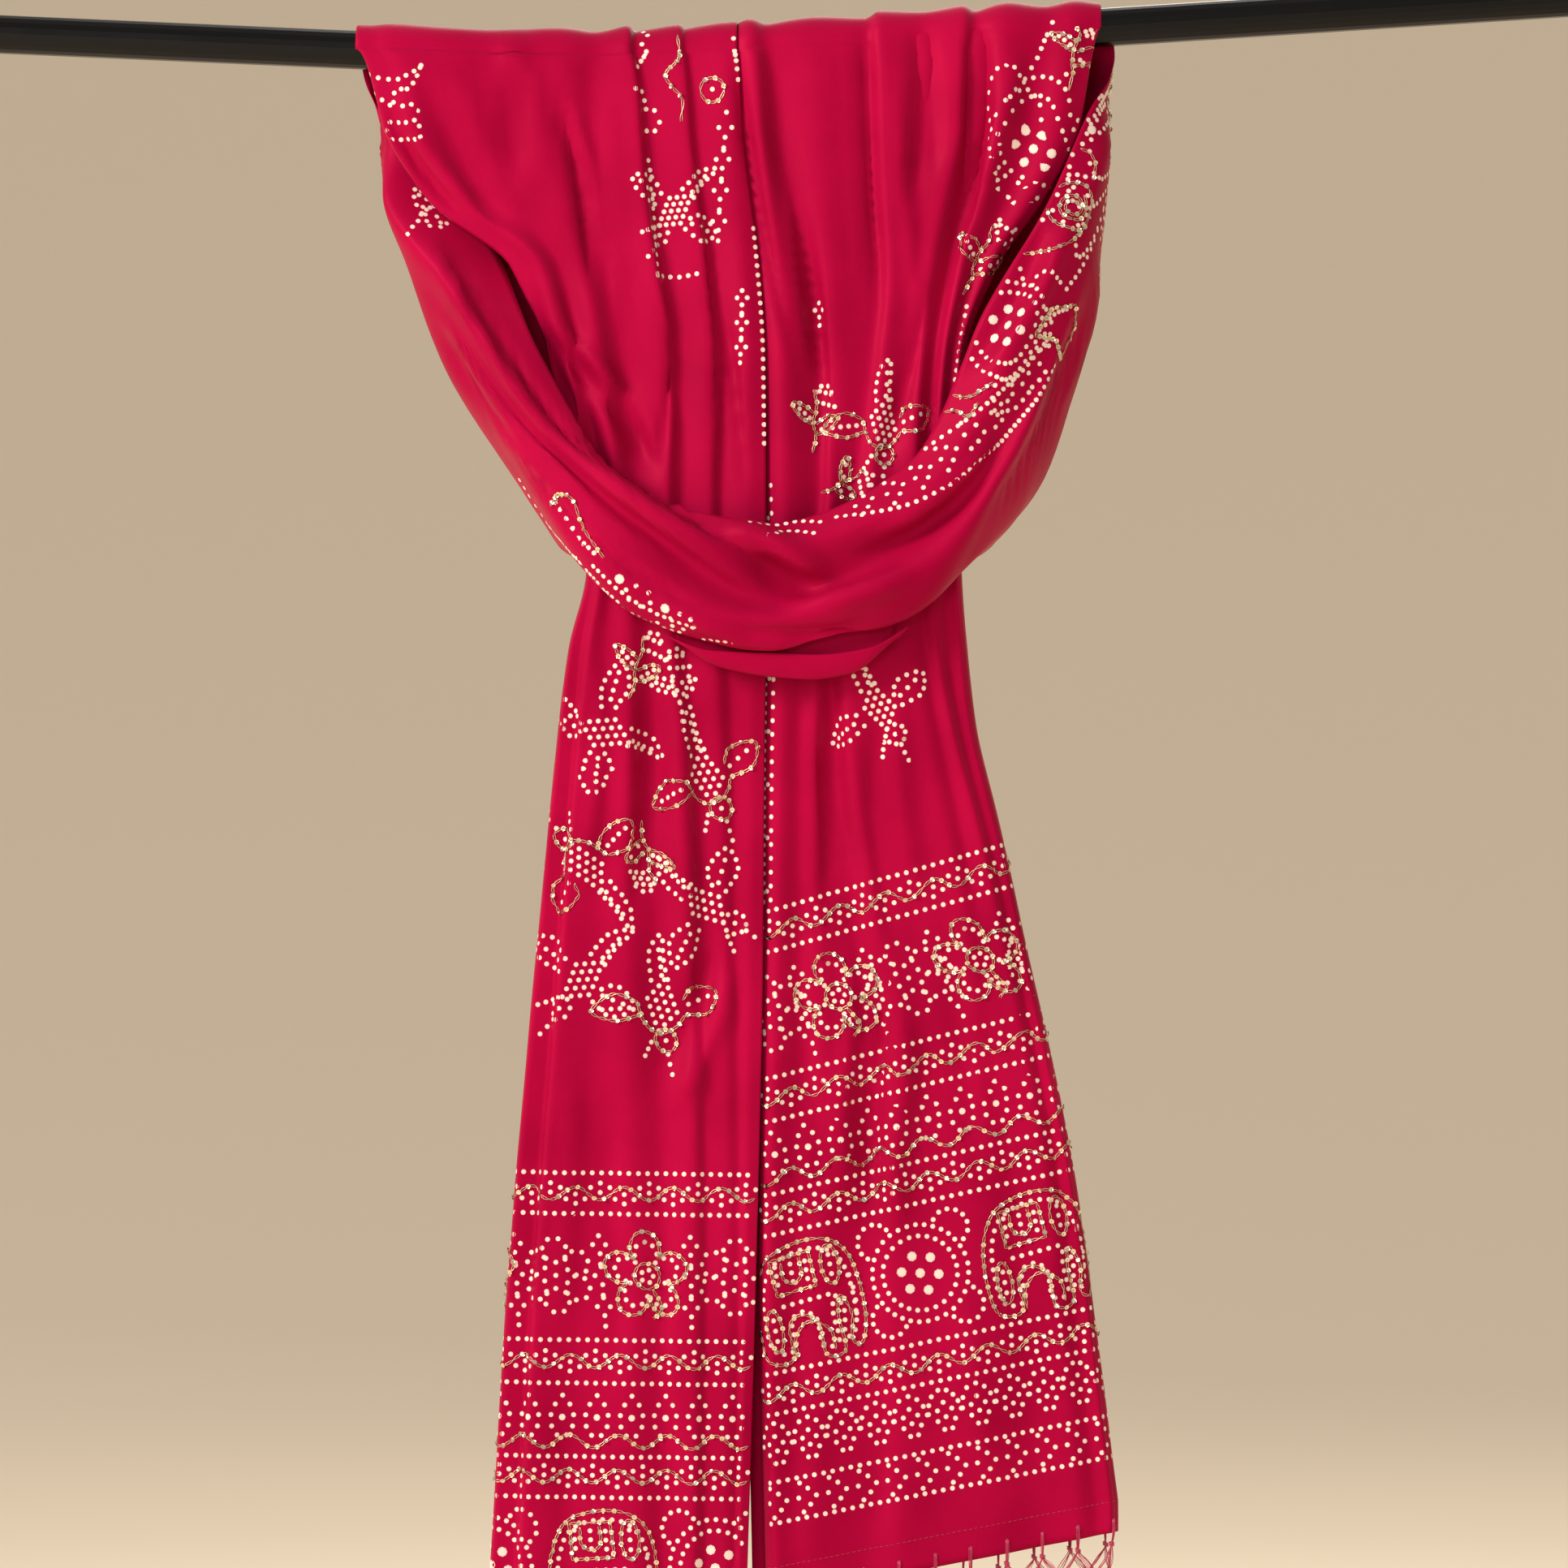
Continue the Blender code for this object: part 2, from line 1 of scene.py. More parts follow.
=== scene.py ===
"""Looks of a dupatta stole looped over a rod: cloth, print, gold work, fringe and a plain stage.

The middle of the stole hangs behind the rod and comes round both sides to the front as a swag.
The two tails come over the rod and hang down behind the swag. Metres, +Z up, -Y is the front.
"""

import math
import random

import bpy
import numpy as np
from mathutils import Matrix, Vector, noise


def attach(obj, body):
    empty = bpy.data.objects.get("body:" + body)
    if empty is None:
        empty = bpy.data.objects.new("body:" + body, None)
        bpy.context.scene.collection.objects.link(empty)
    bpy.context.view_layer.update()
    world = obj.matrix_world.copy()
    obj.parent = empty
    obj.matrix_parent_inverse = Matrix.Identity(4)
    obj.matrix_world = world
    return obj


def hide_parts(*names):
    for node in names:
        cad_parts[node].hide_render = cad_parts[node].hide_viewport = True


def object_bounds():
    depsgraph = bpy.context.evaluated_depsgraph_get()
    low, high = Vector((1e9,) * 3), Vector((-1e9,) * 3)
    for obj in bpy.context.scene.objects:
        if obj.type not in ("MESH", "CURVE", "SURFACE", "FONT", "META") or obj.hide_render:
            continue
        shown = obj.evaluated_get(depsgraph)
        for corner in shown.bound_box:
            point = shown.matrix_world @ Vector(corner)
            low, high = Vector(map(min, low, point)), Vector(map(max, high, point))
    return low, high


bl_info = {
    "name": "Dupatta stole on a rod",
    "version": (1, 0, 0),
    "blender": (4, 5, 0),
    "location": "View3D > Sidebar > Stole",
    "description": "Satin stole with dotted print, sequins and knotted fringe, looped over a rod",
    "category": "Add Mesh",
}

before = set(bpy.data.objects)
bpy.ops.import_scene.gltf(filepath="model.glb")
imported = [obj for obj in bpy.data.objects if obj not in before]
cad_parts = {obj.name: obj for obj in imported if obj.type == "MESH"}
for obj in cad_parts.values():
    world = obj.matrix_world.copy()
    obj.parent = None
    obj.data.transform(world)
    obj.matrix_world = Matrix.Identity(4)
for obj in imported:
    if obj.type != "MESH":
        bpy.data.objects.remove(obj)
CAD_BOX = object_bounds()

MM = 0.001

# The drape is drawn on a layout grid of 0.42 mm squares: across to the right, down from the top.
GRID = 0.42 * MM
GRID_ACROSS_AT_ORIGIN = 905
GRID_DOWN_AT_ORIGIN = 63
FRAME_SQUARES = 1932

ROD_RADIUS = 10 * MM
ROD_BEND_ACROSS = 729
ROD_SLOPE_LEFT = 0.045
ROD_SLOPE_RIGHT = -0.065
ROD_BEND_SPREAD = 90

ARM_SEAM = 0.6 * MM
FOLD_TURN = 1.5 * MM
HEM_DEPTH = 16 * MM
HEM_SQUARES = HEM_DEPTH / GRID

# Levels down the tails, in grid squares. The last one is the hem, given for each tail.
LEVELS = (63, 160, 250, 330, 450, 600, 700, 800, 950, 1200, 1550)
LEFT_HEM_LEVEL = 2250
RIGHT_HEM_LEVEL = 1930
LEFT_HEM_RISE = -4
RIGHT_HEM_RISE = -88
RISE_FROM_LEVEL = 700
RISE_FULL_AT_LEVEL = 1125

# How far the front layer and the back layer stand off the rod's surface at each level, in mm.
FRONT_LIFT = (0, 1, 2, 4, 8, 11, 11, 10, 8, 6, 4, 4)
BACK_LIFT = (1.15, -1, -2, -3, -4, -5, -5.5, -6, -5, -5, -4, -3)

# Folds of each tail's front layer. Columns: name, place across at each level in grid squares,
# lift over the front layer at each level in mm. Rows run from the outer fold to the middle.
LEFT_FOLDS = (
    ("outer fold",
     (440, 474, 530, 630, 672, 712, 724, 702, 684, 660, 629, 588),
     (2.8, 4, 4, 4, 3, 3, 3, 3, 2, 2, 2, 2)),
    ("turned back strip",
     (462, 497, 552, 645, 682, 720, 733, 716, 704, 684, 656, 616),
     (3, 5, 5, 5, 4, 4, 4, 3, 2, 1.5, 1.5, 2)),
    ("panel edge",
     (490, 528, 580, 668, 700, 730, 742, 728, 714, 694, 667, 628),
     (4, 8, 9, 9, 8, 8, 7, 7, 7, 7, 7, 7)),
    ("outer dip",
     (600, 606, 630, 690, 715, 743, 756, 748, 745, 735, 720, 700),
     (3, 4, 4, 5, 5, 4, 5, 5, 5, 5, 4, 6)),
    ("plain ridge",
     (690, 696, 706, 722, 740, 762, 774, 775, 775, 775, 775, 765),
     (5, 8, 9, 10, 10, 9, 8, 8, 9, 8, 7, 8)),
    ("plain dip",
     (735, 733, 740, 752, 768, 784, 794, 802, 805, 812, 820, 815),
     (3, 4, 4, 4, 4, 4, 4, 4, 3, 3, 3, 4)),
    ("plain fold edge",
     (774, 786, 794, 806, 826, 822, 824, 828, 840, 850, 856, 850),
     (6, 8, 9, 10, 9, 9, 8, 8, 8, 7, 7, 8)),
    ("bordered step",
     (784, 798, 807, 820, 840, 838, 842, 848, 858, 868, 872, 866),
     (2.8, 3, 3, 3, 3, 3, 4, 4, 4, 4, 4, 4)),
    ("bordered ridge",
     (836, 846, 856, 868, 880, 874, 876, 880, 886, 892, 896, 886),
     (5, 7, 7, 8, 8, 7, 7, 7, 7, 6, 5, 6)),
    ("inner step",
     (846, 857, 868, 882, 894, 890, 894, 900, 904, 908, 910, 898),
     (2.8, 3, 3, 3, 3, 3, 4, 4, 4, 4, 4, 4)),
    ("inner ridge",
     (890, 897, 905, 915, 922, 920, 924, 926, 926, 924, 920, 902),
     (5, 7, 7, 8, 8, 7, 6, 6, 6, 6, 6, 6)),
    ("selvedge",
     (908, 915, 926, 936, 943, 944, 945, 944, 942, 940, 932, 911),
     (5.2, 6, 6, 6, 6, 6, 5, 5, 5, 5, 5, 5)),
)
RIGHT_FOLDS = (
    ("outer fold",
     (1356, 1330, 1284, 1228, 1187, 1181, 1184, 1190, 1202, 1253, 1326, 1376),
     (2.8, 3, 3, 2, 2, 2, 2, 2, 2, 3, 3, 3)),
    ("border ridge",
     (1322, 1302, 1264, 1216, 1180, 1175, 1176, 1180, 1193, 1246, 1318, 1366),
     (5, 7, 6, 5, 4, 4, 4, 4, 4, 4, 5, 6)),
    ("border dip",
     (1288, 1268, 1238, 1201, 1172, 1165, 1164, 1168, 1184, 1238, 1306, 1350),
     (3, 3, 3, 3, 3, 3, 3, 3, 4, 4, 4, 4)),
    ("outer ridge",
     (1240, 1230, 1205, 1183, 1161, 1151, 1146, 1152, 1172, 1226, 1288, 1325),
     (6, 8, 8, 8, 7, 7, 7, 7, 8, 7, 7, 7)),
    ("narrow hollow",
     (1203, 1200, 1185, 1168, 1149, 1139, 1130, 1138, 1158, 1203, 1250, 1280),
     (2.8, 1, 1, 1, 2, 3, 4, 5, 6, 4, 4, 4)),
    ("middle ridge",
     (1185, 1180, 1160, 1146, 1132, 1122, 1112, 1120, 1140, 1180, 1210, 1230),
     (6, 8, 8, 8, 8, 8, 8, 8, 8, 7, 7, 7)),
    ("middle panel",
     (1140, 1140, 1130, 1125, 1110, 1098, 1085, 1085, 1100, 1130, 1150, 1160),
     (4, 5, 6, 6, 6, 6, 7, 7, 6, 5, 5, 5)),
    ("panel ridge",
     (1086, 1090, 1094, 1098, 1088, 1072, 1052, 1044, 1052, 1085, 1100, 1105),
     (6, 8, 8, 8, 8, 8, 9, 9, 9, 8, 7, 7)),
    ("deep valley",
     (1066, 1070, 1074, 1080, 1070, 1050, 1032, 1024, 1028, 1052, 1060, 1065),
     (2.8, 3, 3, 4, 4, 3, 2, 1, 0, 2, 3, 4)),
    ("plain ridge",
     (1000, 1005, 1012, 1020, 1024, 1024, 1010, 1004, 1006, 1010, 1010, 1015),
     (5, 7, 8, 8, 7, 7, 7, 6, 6, 6, 6, 6)),
    ("soft hollow",
     (948, 958, 974, 990, 1004, 1008, 1000, 990, 985, 985, 980, 985),
     (2.8, 1, 2, 2, 2, 3, 3, 3, 3, 3, 3, 4)),
    ("thin ridge",
     (925, 936, 948, 958, 966, 968, 968, 966, 962, 958, 950, 958),
     (6, 9, 9, 9, 9, 9, 7, 6, 6, 6, 6, 6)),
    ("selvedge",
     (903, 908, 918, 928, 936, 938, 940, 940, 938, 937, 936, 944),
     (2.8, 2, 2, 2, 1, 0, 0, 0, 0, 0, 0, 0)),
)

# Waves of the back layer, from the outer fold to the free edge near the middle. Columns: share of
# the way across, lift over the back layer in mm, where positive is towards the front.
BACK_WAVES = (
    (0.14, -1.5),
    (0.33, 1.5),
    (0.50, -2.5),
    (0.68, 1.0),
    (0.84, -2.0),
    (0.97, 0.5),
)

# The right tail's back layer is this much wider than its front, so no light shows in the gap.
BACK_REACH = 1.04

# The looped middle of the stole. A row is a line of the cloth that runs along the loop, from
# behind the rod, round one side of the tails, to the middle of the swag. Columns are the places
# "rod", "rear", "turn", "flank", "fore", "front", "near" and "middle", each with its place
# across and down in grid squares and its depth in mm, where negative is towards the front.
LEFT_LOOP = (
    ("upper edge",
     (442, 61, 0), (448, 95, 9), (466, 135, 6), (515, 195, 2),
     (604, 296, -1), (668, 440, -33), (768, 584, -40), (945, 648, -42)),
    ("upper roll",
     (515, 61, 0), (500, 110, 19), (470, 180, 14), (472, 240, -4),
     (540, 340, -26), (655, 500, -43), (775, 610, -50), (945, 682, -53)),
    ("crease",
     (600, 61, 0), (575, 140, 15), (520, 250, 15), (500, 318, -1),
     (556, 400, -23), (665, 545, -37), (790, 650, -43), (945, 735, -45)),
    ("lower roll",
     (690, 61, 0), (655, 175, 27), (590, 330, 29), (548, 446, 2),
     (588, 494, -24), (680, 610, -43), (790, 710, -52), (945, 768, -54)),
    ("under turn",
     (790, 61, 0), (745, 210, 19), (670, 420, 21), (624, 555, 8),
     (672, 640, -10), (718, 700, -36), (790, 763, -43), (945, 801, -45)),
    ("lower edge",
     (895, 61, 0), (850, 240, 25), (765, 480, 28), (668, 622, 14),
     (688, 672, -8), (728, 700, -34), (805, 748, -36), (945, 784, -38)),
)
RIGHT_LOOP = (
    ("upper edge",
     (1372, 36, 0), (1374, 66, 9), (1367, 95, 0), (1343, 135, -12),
     (1290, 252, -26), (1212, 385, -35), (1120, 572, -40), (945, 648, -42)),
    ("upper roll",
     (1300, 37, 0), (1330, 90, 19), (1364, 140, 12), (1367, 180, -6),
     (1325, 290, -29), (1255, 430, -43), (1140, 605, -50), (945, 682, -53)),
    ("crease",
     (1215, 43, 0), (1255, 130, 15), (1325, 230, 15), (1362, 252, -1),
     (1330, 350, -27), (1260, 500, -38), (1140, 655, -44), (945, 735, -45)),
    ("lower roll",
     (1125, 48, 0), (1170, 165, 27), (1260, 310, 29), (1345, 380, 2),
     (1315, 430, -24), (1250, 560, -43), (1140, 700, -52), (945, 768, -54)),
    ("under turn",
     (1025, 55, 0), (1070, 200, 19), (1175, 400, 21), (1292, 566, 8),
     (1262, 622, -12), (1190, 700, -36), (1110, 766, -43), (945, 801, -45)),
    ("lower edge",
     (915, 61, 0), (965, 235, 25), (1065, 470, 28), (1240, 640, 14),
     (1222, 672, -8), (1180, 702, -34), (1088, 750, -36), (945, 784, -38)),
)
LOOP_LAST_PLACE = 14
LOOP_LINES = 6

# Where the loop shows and where it is hidden, in places from either end, with a soft change over.
SHOWS_FROM = 2.6
HIDDEN_TO = 3.2
CHANGE_OVER = 0.8
HELD_BY_ROD = 0.3

# The fold that hangs under the swag. Columns: place along the loop, then how far down its bottom
# and its front lip lie, in grid squares.
HANGING_FOLD = (
    (6.25, 788, 784),
    (6.6, 822, 803),
    (7.0, 834, 806),
    (7.35, 838, 808),
    (7.7, 830, 800),
    (8.1, 790, 772),
)
HANGING_FOLD_START = 1.6 * MM
HANGING_FOLD_DEPTH = 7 * MM
HANGING_FOLD_SWELL = 0.8 * MM

# The modelled cloth is a shell of about its real thickness, on a finer grid than its solid.
CLOTH_WALL = 0.5 * MM
STEPS_PER_FOLD = 6
TURN_STEPS = 6
STEPS_PER_BACK_WAVE = 6
WRAP_STEPS = 24
ROW_STEP_SQUARES = 9
LOOP_STEPS_PER_PLACE = 16
LOOP_STEPS_PER_LINE = 9
HANGING_FOLD_STEPS = 50
HANGING_FOLD_CROSS_STEPS = 16

# Soft creases, given one by one. Columns: half width in squares, height in mm, where positive
# stands out and negative is a trough, then the path as places across and down.
TAIL_CREASES = (
    (11, -5.0, ((648, 394), (698, 442), (741, 488), (784, 548), (794, 592))),
    (8, 3.2, ((664, 382), (714, 428), (757, 473), (802, 536), (809, 588))),
    (7, -3.4, ((1063, 18), (1068, 130), (1074, 260), (1086, 420))),
    (8, 2.4, ((1052, 22), (1056, 130), (1062, 260), (1070, 400))),
    (13, -4.4, ((1203, 16), (1205, 100), (1199, 210), (1188, 340))),
    (10, -2.6, ((1140, 14), (1146, 90), (1150, 160), (1148, 240))),
    (7, -3.2, ((668, 110), (700, 165), (720, 250), (733, 366))),
    (9, 2.6, ((684, 108), (716, 166), (738, 252), (750, 360))),
    (7, -3.0, ((820, 372), (829, 455), (820, 530), (810, 592))),
    (6, -2.6, ((868, 250), (878, 350), (884, 450), (876, 560))),
    (6, -2.4, ((890, 380), (905, 470), (914, 560), (918, 620))),
    (7, -2.6, ((470, 120), (500, 180), (540, 235), (585, 278))),
    (8, 2.2, ((484, 112), (516, 172), (556, 224), (602, 262))),
    (12, 2.9, ((622, 30), (634, 70), (628, 105), (612, 150))),
    (13, 3.2, ((640, 60), (652, 120), (655, 190), (648, 260))),
    (13, -4.0, ((633, 80), (636, 120), (640, 170), (652, 225))),
    (14, -3.9, ((690, 90), (706, 180), (724, 290), (735, 380))),
    (18, 2.7, ((560, 60), (585, 150), (622, 235), (668, 320))),
    (16, -3.9, ((510, 75), (548, 160), (592, 240), (640, 310))),
    (15, 2.5, ((655, 300), (688, 400), (722, 470), (770, 530))),
    (13, -3.6, ((640, 350), (672, 430), (706, 500), (748, 560))),
    (10, 2.2, ((745, 100), (756, 220), (762, 340), (760, 430))),
    (11, -3.0, ((760, 420), (775, 500), (800, 560), (815, 600))),
    (8, -3.9, ((905, 60), (922, 180), (950, 330), (985, 470))),
    (10, 3.2, ((960, 150), (975, 300), (996, 430), (1020, 560))),
    (14, -4.2, ((985, 240), (1000, 380), (1012, 480), (1024, 580))),
    (13, 2.5, ((1110, 60), (1112, 180), (1122, 300), (1130, 420))),
    (11, -3.9, ((1130, 20), (1135, 90), (1128, 190), (1120, 280))),
    (10, 2.7, ((1255, 60), (1240, 130), (1216, 210), (1196, 300))),
    (11, -3.4, ((1150, 320), (1128, 430), (1104, 520), (1080, 600))),
    (14, 3.2, ((735, 800), (742, 900), (730, 1010), (712, 1130))),
    (15, -3.5, ((795, 820), (800, 930), (790, 1060), (770, 1190))),
    (13, 3.1, ((850, 830), (838, 960), (846, 1090), (832, 1230))),
    (15, -3.2, ((880, 1130), (868, 1200), (842, 1270), (806, 1330))),
    (13, 3.2, ((905, 1180), (888, 1250), (858, 1320), (822, 1370))),
    (16, 2.5, ((700, 1280), (706, 1400), (696, 1540), (690, 1660))),
    (14, -2.5, ((760, 1330), (752, 1460), (762, 1600), (750, 1740))),
    (13, 2.5, ((830, 1420), (842, 1540), (834, 1680), (846, 1800))),
    (14, -2.8, ((690, 1700), (700, 1830), (694, 1960), (706, 2090))),
    (15, 2.5, ((800, 1790), (790, 1920), (800, 2060), (792, 2180))),
    (15, -3.8, ((1010, 860), (1016, 960), (1020, 1060), (1012, 1150))),
    (15, 3.5, ((1110, 820), (1106, 930), (1118, 1040), (1140, 1140))),
    (13, -3.1, ((1080, 860), (1074, 980), (1086, 1090), (1106, 1190))),
    (13, 4.5, ((1040, 1130), (1048, 1250), (1036, 1380), (1046, 1500))),
    (13, -5.0, ((1075, 1140), (1086, 1260), (1072, 1390), (1080, 1520))),
    (14, 3.8, ((1105, 1200), (1114, 1320), (1102, 1440), (1110, 1560))),
    (14, -3.1, ((1000, 1180), (996, 1300), (1008, 1420), (998, 1540))),
    (18, 2.8, ((1190, 1040), (1206, 1160), (1232, 1300), (1262, 1430))),
    (16, -2.5, ((1160, 1100), (1178, 1240), (1196, 1380), (1216, 1500))),
    (16, 2.5, ((1180, 1560), (1196, 1660), (1206, 1760), (1222, 1850))),
    (15, -2.5, ((1080, 1640), (1090, 1740), (1084, 1830), (1094, 1910))),
    (18, 2.2, ((990, 1700), (1000, 1800), (992, 1890), (1000, 1940))),
)

# Creases of the loop's visible part, in squares as above.
SWAG_CREASES = (
    (10, 5.1, ((520, 285), (560, 352), (610, 430), (655, 500), (700, 560))),
    (10, -5.7, ((540, 300), (582, 372), (625, 438), (668, 500), (718, 556), (770, 606))),
    (11, 4.0, ((545, 380), (590, 452), (636, 520), (690, 580), (748, 636))),
    (9, -3.8, ((536, 396), (566, 452), (604, 510), (650, 566))),
    (11, 3.8, ((640, 520), (700, 590), (768, 655), (850, 706))),
    (10, -4.2, ((610, 540), (668, 604), (736, 672), (812, 726), (880, 752))),
    (13, 6.0, ((880, 648), (930, 662), (985, 690), (1018, 716))),
    (14, -8.4, ((926, 682), (956, 706), (988, 724), (1020, 736))),
    (9, -5.5, ((681, 492), (752, 565), (815, 612), (893, 665), (950, 720), (1008, 748))),
    (12, 3.6, ((690, 532), (760, 602), (830, 656), (900, 704), (960, 758))),
    (13, 5.5, ((960, 740), (1010, 742), (1070, 730), (1130, 704))),
    (11, -4.9, ((880, 770), (950, 786), (1020, 784), (1090, 764))),
    (10, -4.9, ((1050, 690), (1110, 668), (1160, 636), (1212, 590))),
    (11, 4.9, ((1080, 660), (1130, 630), (1185, 585), (1235, 524))),
    (10, -4.0, ((1180, 470), (1226, 410), (1262, 340), (1290, 260))),
    (9, 3.8, ((1210, 480), (1256, 410), (1294, 335), (1322, 250))),
    (10, -4.2, ((1330, 380), (1312, 450), (1288, 520), (1252, 590), (1206, 650))),
    (9, 3.8, ((1352, 300), (1342, 380), (1322, 450), (1296, 520))),
    (10, 3.8, ((800, 735), (860, 768), (930, 790), (1000, 796))),
)

# Creases of the loop's hidden part. Columns: half width in squares, height in mm, then the path as
# places along the loop and lines across it. The right arm takes them from the loop's far end.
ARM_CREASES = (
    (8, 2.2, ((0.15, 0.7), (0.9, 0.9), (1.8, 1.0), (2.8, 1.2))),
    (9, -2.4, ((0.1, 1.4), (0.8, 1.6), (1.6, 1.9), (2.6, 2.1))),
    (8, 2.0, ((0.2, 2.4), (1.0, 2.3), (1.9, 2.6), (2.7, 3.0))),
    (10, -2.0, ((0.1, 3.2), (0.9, 3.0), (1.7, 3.2), (2.5, 3.6))),
    (9, 1.8, ((0.3, 4.1), (1.1, 3.8), (2.0, 4.0), (2.8, 4.3))),
    (7, -1.5, ((1.2, 0.3), (1.9, 0.5), (2.6, 0.7))),
)
CREASE_STEPS = 24
CREASE_TAPER = 0.3

# The arms' places and lines in squares, to draw their creases on an even scale.
ARM_PLACE_SQUARES = 170
ARM_LINE_SQUARES = 70

# Small unevenness of the cloth. Columns: wavelength across and down in mm, height in mm.
WRINKLES = (
    (38, 120, 0.55),
    (16, 46, 0.22),
    (7, 15, 0.07),
)
SEED = 11

# The print and the gold work are laid out in squares, in each cloth's own flat places.
FLAT_STEP = 2.0
DOT_RADIUS = 3.15
LARGER_DOTS = {"middle": 4.2, "big": 6.2}
DOT_SPACING = 11.6
DOT_SIDES = 8
DOT_LIFT = 0.12 * MM
STITCH_STEP = 2.6
SEQUIN_PITCH = 13.0
SEQUIN_RADIUS = 1.35 * MM
SEQUIN_SIDES = 10
# A sequin's rings, from its hole to its rim: shares of its radius outwards and up.
SEQUIN_PROFILE = ((0.26, 0.06), (0.62, 0.0), (1.0, 0.16))
SEQUIN_LIFT = 0.65 * MM
SEQUIN_TILT = 0.3
SEQUIN_MISSING = 0.12
THREAD_RADIUS = 0.2 * MM
THREAD_SWAY = 0.6 * MM
THREAD_LIFT = 0.35 * MM
THREAD_WAVE = 0.1 * MM

# Dots and stitches stop this near an edge of the cloth, and where it jumps this far. A dot's rim
# may stretch this much, and a stitched run has at least this many points.
DOT_MARGIN = 2.0
DOT_STRETCH = 1.6
STITCH_MARGIN = 3.0
STITCH_LEAP = 3 * STITCH_STEP * GRID
STITCH_LEAST_POINTS = 4

# For finding places on a cloth: a column that faces the front halfway along, the y of a normal up
# to which a place faces the front, the least stretch and slant that still give a direction, the
# furthest correction in squares, and how far up over the rod a tail is looked for.
FACING_COLUMN = 20
FACING_LIMIT = -0.05
LEAST_STRETCH = 0.3
LEAST_SLANT = 0.1
FIND_REACH = 6
OVER_ROD_SHOWN = 40

# The loop's border where it shows, as places across and down: dotted lines, stitched lines and
# the chevrons between its two outer dotted lines.
BORDER_LINES = (
    ((1346, 66), (1364, 78), (1372, 108), (1366, 148), (1352, 166), (1340, 150)),
    ((1374, 150), (1368, 210), (1358, 262), (1344, 306), (1328, 338), (1312, 360)),
    ((1304, 352), (1290, 338), (1276, 344), (1270, 356)),
    ((1297, 455), (1281, 487), (1261, 513), (1216, 562), (1160, 606), (1100, 630), (1030, 640)),
    ((1284, 428), (1262, 456), (1236, 482), (1196, 516), (1150, 548), (1100, 584), (1050, 606)),
    ((1312, 384), (1296, 392), (1284, 410), (1290, 430)),
    ((1010, 646), (985, 645), (955, 650), (925, 646)),
    ((1002, 660), (975, 657), (948, 662)),
    ((641, 592), (663, 628), (690, 665), (716, 694)),
    ((686, 622), (700, 640), (714, 664), (734, 684)),
    ((724, 704), (756, 738), (796, 766), (850, 786), (905, 794)),
    ((733, 700), (766, 731), (806, 756), (856, 776)),
)
BORDER_STITCHES = (
    ((1259, 317), (1290, 313), (1318, 301), (1334, 283)),
    ((1272, 418), (1286, 396), (1296, 383), (1312, 382), (1323, 379), (1322, 402), (1312, 428),
     (1303, 446), (1299, 424), (1286, 420), (1272, 418)),
    ((1330, 186), (1342, 192), (1348, 206), (1346, 222)),
    ((1150, 500), (1166, 490), (1190, 494), (1206, 486), (1222, 476)),
    ((1158, 512), (1176, 510), (1190, 518), (1204, 500)),
    ((681, 626), (692, 612), (706, 616), (716, 640), (728, 664), (746, 690)),
)
BORDER_CHEVRONS = (
    (1277, 462), (1256, 487), (1230, 512), (1200, 538),
    (1168, 563), (1136, 586), (1102, 606), (1064, 622),
)

# The short stitches that hold a hem, along it in squares.
STITCH_PITCH = 7.0
STITCH_SHARE = 0.6
STITCH_RADIUS = 0.22 * MM
STITCH_END_GAP = 4

# The tassels: their places along the hem in squares, their parts and their threads.
TASSEL_PITCH = 45.0
TASSEL_LEAP = 3 * TASSEL_PITCH * GRID
TASSEL_BITE = 17.0
NECK_DROP = 6.5 * MM
KNOT_DROP = 20 * MM
KNOT_WIDTH = 1.25 * MM
TASSEL_TAIL = 17 * MM
THREADS_PER_HALF = 7
THREAD_SPREAD = 0.42 * MM
FRINGE_THREAD = 0.2 * MM
FRINGE_STEPS = 22

# How unevenly they hang: shares of a neck's drop and of a tail, then sways and drops in mm.
HANG_CHANGE = 0.15
TAIL_CHANGE = (-0.35, 0.1)
TAIL_SWAY = (3.2, 1.4)
BELLY_DROP = (-1, 2)

# A neck lies back, a knot stands forward, and the outer half of the last tassel reaches out by
# this share of the way to its neighbour. A knot is a coil of this many turns.
NECK_BACK = 0.8 * MM
KNOT_FORWARD = 1.5 * MM
LAST_HALF_REACH = 0.2
KNOT_TURNS = 2.6
KNOT_POINTS = 30
KNOT_STRAND = 0.42

TAILS = (
    ("left", LEFT_FOLDS, LEFT_HEM_LEVEL, LEFT_HEM_RISE),
    ("right", RIGHT_FOLDS, RIGHT_HEM_LEVEL, RIGHT_HEM_RISE),
)
SHEETS = {}

CAMERA_DISTANCE = 5.0
CAMERA_CLIP = 50.0
CAMERA_AIM = ((FRAME_SQUARES / 2 - GRID_ACROSS_AT_ORIGIN) * GRID, 0.0,
              (GRID_DOWN_AT_ORIGIN - FRAME_SQUARES / 2) * GRID)
# The floor is a wide round sweep: flat in the middle, rising softly all round.
FLOOR_FLAT = 3.0
FLOOR_CURVE = 0.04
FLOOR_RADII = range(1, 17)
FLOOR_SIDES = 64
FLOOR_GAP = 0.02
WORLD_STRENGTH = 0.6

# Columns: name, place in metres, size in metres, power in watts, colour.
LIGHTS = (
    ("key", (-2.6, -1.9, 1.3), 1.2, 112, "#FFF4EA"),
    ("fill", (-0.8, -4.4, 0.5), 1.2, 34, "#F8F4FF"),
    ("back", (0.6, 2.4, 1.4), 1.8, 30, "#FFF8F2"),
)


